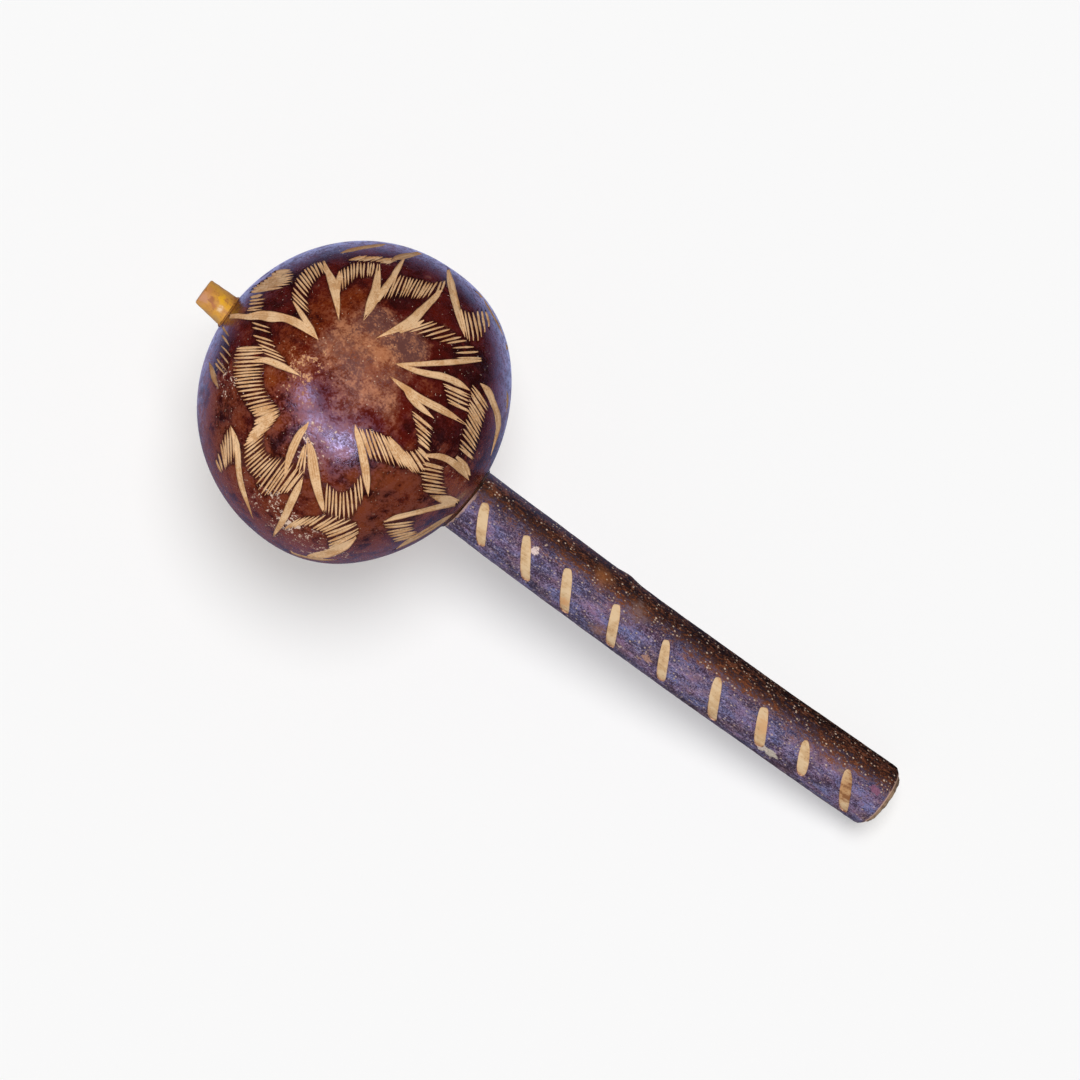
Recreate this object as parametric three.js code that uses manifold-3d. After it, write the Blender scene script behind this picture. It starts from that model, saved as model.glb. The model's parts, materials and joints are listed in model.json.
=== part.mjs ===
// A shaman rattle: a round lacquered gourd on a branch handle, with loose seeds inside.
// Millimetres, +Z up. The rattle lies on its belly and on the butt of its handle, the handle towards +X.
// The stick's own line runs along +X before the rattle is laid down, with the gourd's centre at zero.
import * as THREE from 'three';
import { mergeVertices } from 'three/addons/utils/BufferGeometryUtils.js';
import Module from 'manifold-3d';

const wasm = await Module();
wasm.setup();

// Gourd
const gourdBellyRadius = 52;
const gourdCrownHeight = 49.3;
const gourdBaseHeight = 47.5;
const gourdWall = 3.2;

// Branch: peg at the crown, spindle inside the gourd, grip outside it
const pegLength = 10.2;
const pegTipRadius = 4.35;
const pegRootRadius = 5.2;
const spindleBaseRadius = 7;
const gripLength = 165.5;
const gripRadius = 11.2;
const barkThickness = 0.9;
const coreProud = 1.5;
const buttRound = 2.4;
const buttWear = 1.1;
const stickBow = 2.9;
const stickSkew = 3.4;

// Slanted notches cut through the bark, given by where they start and end round the stick
const notchCount = 9;
const notchWidth = 3.7;
const notchSlant = 7.2;
const notchFromAngle = THREE.MathUtils.degToRad(-9);
const notchToAngle = THREE.MathUtils.degToRad(63);
const notchJointMargin = 8.8;
const notchButtMargin = 8.6;

// Resin beads: how far each spreads over the gourd and climbs the stick
const jointBeadSpread = 1.2;
const jointBeadClimb = 1.3;
const pegBeadSpread = 0.9;
const pegBeadClimb = 0.9;
const beadHollow = 0.35;

// Seeds
const seedCount = 24;
const seedDiameter = 5.6;
const seedSpread = 0.8;
const seedFlatness = 0.9;
const seedPatchShift = new THREE.Vector2(-1 / 3, 1 / 5);

// Fits and facets
const fitGap = 0.3;
const seedSeatGap = 0.45;
const seedSettleStep = 0.001;
const gourdSides = 40;
const gourdSteps = 26;
const stickSides = 32;
const stickStep = 32;
const buttSteps = 3;
const notchArcSteps = 5;
const seedSides = 8;
const seedRings = 5;

// Places along the stick that follow from the sizes above
const pegTip = -(gourdCrownHeight + pegLength);
const barkEnd = gourdBaseHeight + gripLength;
const coreEnd = barkEnd + coreProud;
const gripStart = gourdBaseHeight / 2;
const spindleEnd = gourdBaseHeight + gripRadius;
const coreInset = barkThickness + fitGap;

function material(color, roughness) {
  return new THREE.MeshStandardMaterial({ color, roughness, metalness: 0, flatShading: true });
}

const lacquer = material(0x4f2115, 0.3);
const paleWood = material(0xdcb678, 0.65);
const darkBark = material(0x33262c, 0.6);
const resin = material(0x5c3214, 0.35);
const seedCoat = material(0x2a1d18, 0.45);

// Geometry to solid and back
function solidFrom(geometry) {
  const bare = geometry.clone();
  bare.deleteAttribute('normal');
  bare.deleteAttribute('uv');
  const merged = mergeVertices(bare);
  const index = merged.index.array;
  const corners = [];
  for (let i = 0; i < index.length; i += 3) {
    const [a, b, c] = [index[i], index[i + 1], index[i + 2]];
    if (a !== b && b !== c && c !== a) {
      corners.push(a, b, c);
    }
  }
  const vertProperties = new Float32Array(merged.attributes.position.array);
  const triVerts = new Uint32Array(corners);
  return new wasm.Manifold(new wasm.Mesh({ numProp: 3, vertProperties, triVerts }));
}

function geometryFrom(solid) {
  const { vertProperties, triVerts } = solid.getMesh();
  const geometry = new THREE.BufferGeometry();
  geometry.setAttribute('position', new THREE.BufferAttribute(new Float32Array(vertProperties), 3));
  geometry.setIndex(new THREE.BufferAttribute(new Uint32Array(triVerts), 1));
  geometry.computeVertexNormals();
  return geometry;
}

function piece(name, geometry, finish) {
  const mesh = new THREE.Mesh(geometry, finish);
  mesh.name = name;
  return mesh;
}

// A profile of [place along the stick, radius] pairs, turned about the stick's line
function turned(profile, sides) {
  const points = profile.map(([along, radius]) => new THREE.Vector2(radius, along));
  return new THREE.LatheGeometry(points, sides, Math.PI / sides).rotateZ(-Math.PI / 2);
}

// The branch isn't straight: it bows sideways, and its butt ends off the gourd's own line
function stickOffset(along) {
  const share = (along - pegTip) / (coreEnd - pegTip);
  return -(stickSkew * share + stickBow * 4 * share * (1 - share));
}

function bent(geometry) {
  const position = geometry.attributes.position;
  for (let i = 0; i < position.count; i += 1) {
    position.setY(i, position.getY(i) + stickOffset(position.getX(i)));
  }
  return geometry;
}

// Even stretch of profile points, short enough to follow the bow
function stretch(from, to, radiusAt) {
  const steps = Math.max(1, Math.ceil(Math.abs(to - from) / stickStep));
  const points = [];
  for (let i = 0; i <= steps; i += 1) {
    const along = from + ((to - from) * i) / steps;
    points.push([along, radiusAt(along)]);
  }
  return points;
}

// Gourd: two half-spheroids that share the belly, grown or shrunk by an offset
function gourdSolid(offset) {
  const profile = [];
  for (let i = 0; i <= gourdSteps; i += 1) {
    const angle = (Math.PI * i) / gourdSteps;
    const height = (angle < Math.PI / 2 ? gourdCrownHeight : gourdBaseHeight) + offset;
    const onAxis = i === 0 || i === gourdSteps;
    profile.push([-height * Math.cos(angle), onAxis ? 0 : (gourdBellyRadius + offset) * Math.sin(angle)]);
  }
  return solidFrom(turned(profile, gourdSides));
}

// Peg and spindle: one taper from the peg's tip to the crown, a slower one on to the grip
function spindleRadiusAt(along) {
  const crown = -gourdCrownHeight;
  if (along < crown) {
    return THREE.MathUtils.mapLinear(along, pegTip, crown, pegTipRadius, pegRootRadius);
  }
  return THREE.MathUtils.mapLinear(along, crown, gourdBaseHeight, pegRootRadius, spindleBaseRadius);
}

function spindleSolid(grow) {
  const radiusAt = (along) => spindleRadiusAt(along) + grow;
  const tip = pegTip - grow;
  const profile = [
    [tip, 0],
    ...stretch(tip, -gourdCrownHeight, radiusAt),
    ...stretch(-gourdCrownHeight, spindleEnd, radiusAt).slice(1),
    [spindleEnd, 0],
  ];
  return solidFrom(bent(turned(profile, stickSides)));
}

// Grip: a round stick whose butt edge is worn
function gripRadiusAt(along) {
  const into = THREE.MathUtils.clamp((along - (barkEnd - buttRound)) / buttRound, 0, 1);
  return gripRadius - buttWear * (1 - Math.sqrt(1 - into * into));
}

function gripLine(inset) {
  const radiusAt = (along) => gripRadiusAt(along) - inset;
  const line = stretch(gripStart, barkEnd - buttRound, radiusAt);
  for (let i = 1; i <= buttSteps; i += 1) {
    const along = barkEnd - buttRound + buttRound * Math.sin((Math.PI / 2) * (i / buttSteps));
    line.push([along, radiusAt(along)]);
  }
  return line;
}

function gripSolid(inset, end) {
  const line = gripLine(inset);
  const endRadius = gripRadiusAt(end) - inset;
  const profile = [[gripStart, 0], ...line, [end, endRadius], [end, 0]];
  return solidFrom(bent(turned(profile, stickSides)));
}

function makeGourdShell() {
  const hollow = gourdSolid(0).subtract(gourdSolid(-gourdWall));
  return piece('gourd_shell', geometryFrom(hollow.subtract(spindleSolid(fitGap))), lacquer);
}

// The grip's shoulder is carved to the gourd's curve, and the spindle goes on through the gourd
function makeHandleStick() {
  const grip = gripSolid(coreInset, coreEnd).subtract(gourdSolid(fitGap));
  return piece('handle_stick', geometryFrom(grip.add(spindleSolid(0))), paleWood);
}

function notchCutter(along) {
  const halfTurn = (notchToAngle - notchFromAngle) / 2;
  const across = 2 * gripRadius * Math.sin(halfTurn);
  const endRadius = notchWidth / 2;
  const reach = Math.hypot(across, notchSlant) / 2 - endRadius;
  const outline = new THREE.Shape();
  outline.absarc(0, reach, endRadius, 0, Math.PI);
  outline.absarc(0, -reach, endRadius, Math.PI, 2 * Math.PI);
  const floor = gripRadius * Math.cos(halfTurn) - 2 * coreInset;
  const depth = gripRadius + coreInset - floor;
  const options = { depth, bevelEnabled: false, curveSegments: notchArcSteps };
  return new THREE.ExtrudeGeometry(outline, options)
    .rotateZ(Math.atan2(notchSlant, across))
    .translate(0, 0, floor)
    .rotateX((notchFromAngle + notchToAngle) / 2)
    .translate(along, stickOffset(along), 0);
}

function makeHandleBark() {
  const outer = gripLine(0);
  const inner = gripLine(barkThickness).reverse();
  const sleeve = solidFrom(bent(turned([...outer, ...inner, outer[0]], stickSides)));
  let bark = sleeve.subtract(gourdSolid(fitGap));
  const first = gourdBaseHeight + notchJointMargin;
  const last = barkEnd - notchButtMargin;
  for (let i = 0; i < notchCount; i += 1) {
    bark = bark.subtract(solidFrom(notchCutter(first + ((last - first) * i) / (notchCount - 1))));
  }
  return piece('handle_bark', geometryFrom(bark), darkBark);
}

// A bead lies in the corner between the gourd and the stick that comes out of it, draped on the gourd.
// Its section is a hollow-faced fillet of [height over the gourd, radius] pairs. A negative gourd height
// puts the bead on the crown.
function makeBead(name, gourdHeight, stickRadius, spread, climb) {
  const inner = stickRadius + fitGap;
  const section = [
    [fitGap, inner],
    [fitGap, inner + spread],
    [fitGap + climb * beadHollow, inner + spread * beadHollow],
    [fitGap + climb, inner],
    [fitGap, inner],
  ];
  const side = Math.sign(gourdHeight);
  const profile = side > 0 ? section : section.reverse();
  const geometry = turned(profile.map(([lift, radius]) => [side * lift, radius]), stickSides);
  const position = geometry.attributes.position;
  for (let i = 0; i < position.count; i += 1) {
    const y = position.getY(i) + stickOffset(gourdHeight);
    const fromAxis = Math.hypot(y, position.getZ(i));
    const surface = gourdHeight * Math.sqrt(1 - (fromAxis / gourdBellyRadius) ** 2);
    position.setX(i, position.getX(i) + surface);
    position.setY(i, y);
  }
  return piece(name, geometryFrom(solidFrom(geometry)), resin);
}

// The rattle is laid down: its belly and the worn edge of its butt touch the table
function restTilt() {
  const buttAlong = barkEnd - buttRound;
  const reach = Math.hypot(buttAlong, gripRadius);
  return Math.asin(gourdBellyRadius / reach) - Math.atan2(gripRadius, buttAlong);
}

const tilt = restTilt();

// True where a seed's centre, seen from the gourd's centre with +Z up, keeps clear of the inner wall
function insideGourd(point) {
  const shrink = gourdWall + seedDiameter / 2 + seedSeatGap;
  const along = point.x * Math.cos(tilt) - point.z * Math.sin(tilt);
  const radius = Math.sqrt(Math.max(0, point.lengthSq() - along * along));
  const height = (along < 0 ? gourdCrownHeight : gourdBaseHeight) - shrink;
  return (along / height) ** 2 + (radius / (gourdBellyRadius - shrink)) ** 2 < 1;
}

// A seed comes down its own column until it meets the wall
function seedPlace(x, y) {
  let clear = 0;
  let blocked = -gourdBellyRadius;
  while (clear - blocked > seedSettleStep) {
    const middle = (clear + blocked) / 2;
    if (insideGourd(new THREE.Vector3(x, y, middle))) {
      clear = middle;
    } else {
      blocked = middle;
    }
  }
  return new THREE.Vector3(x, y, clear);
}

// Seeds lie in one layer of close-packed columns, the nearest to the lowest point first.
// The patch's middle is off any column, so that no two columns are equally near it.
function seedColumns() {
  const pitch = seedDiameter + seedSpread;
  const rowPitch = pitch * Math.sin(Math.PI / 3);
  const rings = Math.ceil(Math.sqrt(seedCount));
  const columns = [];
  for (let row = -rings; row <= rings; row += 1) {
    for (let place = -rings; place <= rings; place += 1) {
      const lean = (Math.abs(row) % 2) / 2;
      columns.push(new THREE.Vector2((place + lean) * pitch, row * rowPitch));
    }
  }
  const middle = new THREE.Vector2(seedPatchShift.x * pitch, seedPatchShift.y * pitch);
  columns.sort((a, b) => a.distanceTo(middle) - b.distanceTo(middle));
  return columns.slice(0, seedCount);
}

function makeSeeds() {
  const seeds = new THREE.Group();
  seedColumns().forEach((column, i) => {
    const geometry = new THREE.SphereGeometry(seedDiameter / 2, seedSides, seedRings);
    const name = `seed_${String(i + 1).padStart(2, '0')}`;
    const seed = piece(name, geometry.scale(1, seedFlatness, seedFlatness), seedCoat);
    seed.position.copy(seedPlace(column.x, column.y));
    seed.rotation.z = i;
    seeds.add(seed);
  });
  return seeds;
}

function makeBody() {
  const body = new THREE.Group();
  body.add(makeGourdShell());
  body.add(makeHandleStick());
  body.add(makeHandleBark());
  body.add(makeBead('joint_glue', gourdBaseHeight, gripRadius, jointBeadSpread, jointBeadClimb));
  body.add(makeBead('peg_glue', -gourdCrownHeight, pegRootRadius, pegBeadSpread, pegBeadClimb));
  body.rotation.y = tilt;
  return body;
}

// The middle of the rattle's footprint stands at the origin
const rattle = new THREE.Group();
rattle.add(makeBody());
rattle.add(makeSeeds());
const box = new THREE.Box3().setFromObject(rattle, true);
rattle.position.set(-(box.min.x + box.max.x) / 2, -(box.min.y + box.max.y) / 2, -box.min.z);

export default rattle;
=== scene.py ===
"""The looks of a shaman rattle: a carved gourd on a branch handle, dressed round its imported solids.

Shapes are worked out in millimetres in the stick's own frame: along the stick, to its side and up, with
the gourd's centre at zero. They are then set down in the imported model's frame, in metres.
"""

import json
import logging
import math
import random
from dataclasses import dataclass, field
from enum import Enum, IntEnum

import bpy
import numpy as np
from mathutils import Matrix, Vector, noise
from mathutils.geometry import delaunay_2d_cdt
from mathutils.kdtree import KDTree


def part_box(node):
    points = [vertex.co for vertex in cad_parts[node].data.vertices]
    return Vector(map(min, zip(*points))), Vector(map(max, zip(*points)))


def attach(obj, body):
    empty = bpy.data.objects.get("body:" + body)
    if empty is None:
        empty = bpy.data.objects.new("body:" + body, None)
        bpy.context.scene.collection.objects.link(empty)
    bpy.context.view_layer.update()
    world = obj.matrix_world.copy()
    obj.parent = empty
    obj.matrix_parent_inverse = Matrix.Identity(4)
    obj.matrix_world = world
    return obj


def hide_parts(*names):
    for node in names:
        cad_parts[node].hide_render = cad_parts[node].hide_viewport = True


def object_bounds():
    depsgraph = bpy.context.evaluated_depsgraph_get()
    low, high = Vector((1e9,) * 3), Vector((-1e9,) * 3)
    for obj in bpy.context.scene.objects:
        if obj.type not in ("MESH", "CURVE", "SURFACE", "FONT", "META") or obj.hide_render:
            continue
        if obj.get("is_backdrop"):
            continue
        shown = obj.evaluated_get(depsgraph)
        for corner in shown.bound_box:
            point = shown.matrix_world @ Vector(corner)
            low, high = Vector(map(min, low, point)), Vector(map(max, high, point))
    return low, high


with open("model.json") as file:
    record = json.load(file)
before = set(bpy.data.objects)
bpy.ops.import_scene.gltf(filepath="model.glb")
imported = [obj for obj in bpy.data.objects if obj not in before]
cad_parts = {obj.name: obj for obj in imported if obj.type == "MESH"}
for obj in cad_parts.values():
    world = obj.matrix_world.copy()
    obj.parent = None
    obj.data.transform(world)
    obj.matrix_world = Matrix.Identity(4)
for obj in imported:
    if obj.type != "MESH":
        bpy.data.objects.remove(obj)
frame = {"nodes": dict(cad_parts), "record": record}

LOG = logging.getLogger("rattle")
CAD_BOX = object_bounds()
BODY = "rattle"
MM = 0.001

# Sizes that several pieces share, in millimetres, as packed
PEG_REACH = 59.5
GOURD_BELLY = 52.0
GOURD_CROWN = 49.3
GOURD_BASE = 47.5

Pixel = tuple[float, float]
Station = tuple[float, float, float]
Cut = tuple[Pixel, Pixel]
Colour = tuple[float, float, float, float]
Face = tuple[int, ...]
Ring = tuple[np.ndarray, np.ndarray, int]


class Slot(Enum):
    """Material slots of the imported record."""

    LACQUER = "gourd_lacquer"
    WOOD = "pale_wood"
    BARK = "dark_bark"
    RESIN = "resin"
    SEED = "seed_coat"


class Lamp(Enum):
    """What a studio lamp is for."""

    KEY = "shadow"
    SHEEN = "highlight"


class ShellFace(IntEnum):
    """Which of the shell's finishes a face takes."""

    SKIN = 0
    CUT = 1
    INSIDE = 2


class BarkFace(IntEnum):
    """Which of the bark's finishes a face takes."""

    SKIN = 0
    EDGE = 1


class StickFace(IntEnum):
    """Which of the stick's finishes a face takes."""

    GRIP = 0
    PEG = 1
    END = 2


def tint(red: float, green: float, blue: float) -> Colour:
    """Linear colour from screen red, green and blue, each 0 to 255.

    Args:
        red, green, blue: screen values, 0 to 255.

    Returns:
        The linear colour.
    """
    shares = [max(c, 0.0) / 255 for c in (red, green, blue)]
    linear = [s / 12.92 if s <= 0.04045 else ((s + 0.055) / 1.055) ** 2.4 for s in shares]
    return (linear[0], linear[1], linear[2], 1.0)


def spline(points: np.ndarray, places: np.ndarray) -> np.ndarray:
    """Reads a smooth curve through given points.

    Args:
        points: the points that the curve goes through, one row each.
        places: where to read it, 0 at the first row, 1 at the second and so on.

    Returns:
        One row for each place.
    """
    last = len(points) - 1
    start = np.clip(np.floor(places).astype(int), 0, last - 1)
    t = (places - start)[:, None]
    before = points[np.maximum(start - 1, 0)]
    here = points[start]
    ahead = points[start + 1]
    after = points[np.minimum(start + 2, last)]
    square = 2 * before - 5 * here + 4 * ahead - after
    cube = 3 * here - before - 3 * ahead + after
    return 0.5 * (2 * here + (ahead - before) * t + square * t**2 + cube * t**3)


def lumps(points: np.ndarray, scale: np.ndarray, seed: float) -> np.ndarray:
    """Smooth noise from -1 to 1 at each point, with its own scale along each axis."""
    shifted = points * scale + seed
    return np.array([noise.noise(Vector(p)) for p in shifted])


def anticlockwise(loop: list[int], flat: np.ndarray) -> list[int]:
    """The loop's point numbers in anticlockwise order on the flat chart.

    Args:
        loop: point numbers, once round.
        flat: the chart's points.

    Returns:
        The loop.
    """
    ring = flat[loop]
    ahead = np.roll(ring, -1, axis=0)
    area = (ring[:, 0] * ahead[:, 1] - ring[:, 1] * ahead[:, 0]).sum()
    return loop if area > 0 else loop[::-1]


def linked(name: str, data: bpy.types.ID) -> bpy.types.Object:
    """Makes an object in the scene from a mesh, a lamp or a camera.

    Args:
        name: the object's name.
        data: what it shows.

    Returns:
        The object.
    """
    made = bpy.data.objects.new(name, data)
    bpy.context.scene.collection.objects.link(made)
    return made


def point_tree(points: np.ndarray) -> KDTree:
    """A tree that finds the nearest of some points.

    Args:
        points: one row each.

    Returns:
        The tree.
    """
    tree = KDTree(len(points))
    for i, point in enumerate(points):
        tree.insert(point, i)
    tree.balance()
    return tree


class Wire:
    """A node's output that takes part in Python sums."""

    def __init__(self, book: "NodeBook", socket: bpy.types.NodeSocket) -> None:
        """Keeps the socket and the book that it belongs to."""
        self.book = book
        self.socket = socket

    def __add__(self, other: "Value") -> "Wire":
        """This plus the other."""
        return self.book.math("ADD", self, other)

    __radd__ = __add__

    def __sub__(self, other: "Value") -> "Wire":
        """This less the other."""
        return self.book.math("SUBTRACT", self, other)

    def __rsub__(self, other: "Value") -> "Wire":
        """The other less this."""
        return self.book.math("SUBTRACT", other, self)

    def __mul__(self, other: "Value") -> "Wire":
        """This times the other."""
        return self.book.math("MULTIPLY", self, other)

    __rmul__ = __mul__

    def __truediv__(self, other: "Value") -> "Wire":
        """This divided by the other."""
        return self.book.math("DIVIDE", self, other)


Value = Wire | float
Reading = np.ndarray | Wire


class NodeBook:
    """The nodes of a material or of the sky, written as expressions."""

    def __init__(self, owner: bpy.types.Material | bpy.types.World) -> None:
        """Starts an empty sheet of nodes.

        Args:
            owner: the material or sky.
        """
        owner.use_nodes = True
        self.owner = owner
        self.tree = owner.node_tree
        self.tree.nodes.clear()

    @classmethod
    def material(cls, name: str) -> "NodeBook":
        """A book for a new material."""
        return cls(bpy.data.materials.new(name))

    def node(
        self,
        kind: str,
        settings: dict | None = None,
        inputs: dict | None = None,
        output: int | str = 0,
    ) -> Wire:
        """Adds a node.

        Args:
            kind: the node's type.
            settings: its own settings, set before its sockets.
            inputs: values or wires for its sockets, by name or by number.
            output: the socket to hand back.

        Returns:
            That output.
        """
        made = self.tree.nodes.new(kind)
        for name, value in (settings or {}).items():
            setattr(made, name, value)
        for key, value in (inputs or {}).items():
            if isinstance(value, Wire):
                self.tree.links.new(value.socket, made.inputs[key])
            else:
                made.inputs[key].default_value = value
        return Wire(self, made.outputs[output] if made.outputs else None)

    def math(self, operation: str, first: Value, second: Value) -> Wire:
        """A Math node."""
        return self.node("ShaderNodeMath", {"operation": operation}, {0: first, 1: second})

    def vector(self, operation: str, first: object, second: object, output: str = "Vector") -> Wire:
        """A Vector Math node."""
        return self.node("ShaderNodeVectorMath", {"operation": operation}, {0: first, 1: second}, output)

    def mix(self, share: Value, first: object, second: object) -> Wire:
        """A colour Mix node: the first colour where the share is 0, the second where it is 1."""
        return self.node("ShaderNodeMix", {"data_type": "RGBA"}, {0: share, 6: first, 7: second}, 2)

    def band(self, value: Wire, low: float, high: float) -> Wire:
        """0 below low, 1 above high, and a soft step between; low may be the larger of the two."""
        settings = {"interpolation_type": "SMOOTHSTEP", "clamp": True}
        return self.node("ShaderNodeMapRange", settings, {0: value, 1: low, 2: high, 3: 0.0, 4: 1.0})

    def place(self) -> Wire:
        """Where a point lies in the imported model's frame, in metres."""
        return self.node("ShaderNodeTexCoord", output="Object")

    def noise(self, where: Wire, scale: float, detail: float = 3.0, rough: float = 0.55) -> Wire:
        """Cloudy noise about 0.5."""
        inputs = {"Vector": where, "Scale": scale, "Detail": detail, "Roughness": rough}
        return self.node("ShaderNodeTexNoise", {"noise_dimensions": "3D"}, inputs, "Fac")

    def swing(self, where: Wire, scale: float, detail: float, rough: float) -> Wire:
        """Cloudy noise about 0."""
        return self.noise(where, scale, detail, rough) - 0.5

    def cells(self, where: Wire, scale: float, output: str) -> Wire:
        """Scattered cells: each point's distance to its cell's middle, or its cell's colour."""
        inputs = {"Vector": where, "Scale": scale}
        return self.node("ShaderNodeTexVoronoi", {"feature": "F1"}, inputs, output)

    def bump(self, height: Value, strength: float, reach: float) -> Wire:
        """A bumped normal whose full height stands out by the reach, in metres."""
        return self.node("ShaderNodeBump", {}, {"Height": height, "Strength": strength, "Distance": reach})

    def attribute(self, name: str) -> Wire:
        """A number kept on the mesh."""
        return self.node("ShaderNodeAttribute", {"attribute_name": name}, {}, "Fac")

    def near(self, where: Wire, spot: Vector, inner: float, outer: float) -> Wire:
        """1 within the inner distance of a spot and 0 past the outer one, in metres."""
        return self.band(self.vector("DISTANCE", where, tuple(spot), "Value"), outer, inner)

    def from_centre(self, stick: "StickFrame") -> tuple[Wire, Wire, Wire, Wire]:
        """A point's way from the gourd's centre, and its parts along the stick, to its side and up.

        Args:
            stick: the stick's frame.

        Returns:
            The way and its three parts, in metres.
        """
        local = self.vector("SUBTRACT", self.place(), tuple(stick.centre))
        along, side, up = (self.vector("DOT_PRODUCT", local, tuple(axis), "Value") for axis in stick.axes)
        return local, along, side, up

    def surface(self, inputs: dict) -> bpy.types.Material:
        """Ends the material with a Principled shader.

        Args:
            inputs: values or wires of the shader's sockets.

        Returns:
            The finished material.
        """
        shader = self.node("ShaderNodeBsdfPrincipled", {}, inputs)
        self.node("ShaderNodeOutputMaterial", {}, {"Surface": shader})
        return self.owner


@dataclass
class StickFrame:
    """The stick's own frame: along the stick, to its side and up, with the gourd's centre at zero."""

    peg_reach: float = PEG_REACH
    centre: Vector = field(init=False)
    axes: np.ndarray = field(init=False)

    def __post_init__(self) -> None:
        """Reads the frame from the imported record's mount on the peg."""
        mounts = {mount["name"]: mount for mount in frame["record"]["mounts"]}
        peg = mounts["peg_end"]
        along = -Vector(peg["axis"]).normalized()
        side = Vector((0.0, 1.0, 0.0))
        self.centre = Vector(peg["pos_m"]) + along * self.peg_reach * MM
        self.axes = np.array([along, side, along.cross(side)])

    def out(self, points: np.ndarray) -> np.ndarray:
        """Points of the stick's frame, in millimetres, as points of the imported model, in metres."""
        return np.array(self.centre) + points @ self.axes * MM

    def into(self, points: np.ndarray) -> np.ndarray:
        """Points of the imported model, in metres, as points of the stick's frame, in millimetres."""
        return (points - np.array(self.centre)) @ self.axes.T / MM


@dataclass
class PictureCamera:
    """The camera at the picture's viewing angle, almost straight above the table."""

    azimuth: float = 35.24
    elevation: float = 84.0
    distance: float = 1.3
    lens: float = 137.04
    sensor: float = 36.0
    picture: float = 1080.0
    aim: Vector = Vector((-0.00324, -0.00214, 0.052))

    def __post_init__(self) -> None:
        """Works out the camera's place and axes."""
        turn, lift = math.radians(self.azimuth), math.radians(self.elevation)
        level = math.cos(lift)
        self.back = Vector((math.sin(turn) * level, -math.cos(turn) * level, math.sin(lift)))
        self.right = Vector((math.cos(turn), math.sin(turn), 0.0))
        self.up = self.back.cross(self.right)
        self.eye = self.aim + self.back * self.distance
        self.focal = self.lens / self.sensor * self.picture

    def build(self) -> None:
        """Makes the camera and hands it to the scene."""
        data = bpy.data.cameras.new("picture_camera")
        data.lens = self.lens
        data.sensor_width = self.sensor
        camera = linked("picture_camera", data)
        camera.location = self.eye
        camera.rotation_euler = (-self.back).to_track_quat("-Z", "Y").to_euler()
        bpy.context.scene.camera = camera

    def rays(self, pixels: np.ndarray) -> np.ndarray:
        """Directions of the lines of sight through pixels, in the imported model's frame.

        Args:
            pixels: one row each.

        Returns:
            One direction for each pixel.
        """
        middle = self.picture / 2
        across = (pixels[:, :1] - middle) / self.focal * np.array(self.right)
        rise = (middle - pixels[:, 1:2]) / self.focal * np.array(self.up)
        return across + rise - np.array(self.back)

    def pixels(self, points: np.ndarray) -> np.ndarray:
        """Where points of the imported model's frame show in the picture.

        Args:
            points: one row each, in metres.

        Returns:
            One pixel for each point.
        """
        sight = points - np.array(self.eye)
        scale = self.focal / -(sight @ np.array(self.back))
        middle = self.picture / 2
        return np.stack([middle + sight @ np.array(self.right) * scale,
                         middle - sight @ np.array(self.up) * scale], axis=1)


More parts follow.
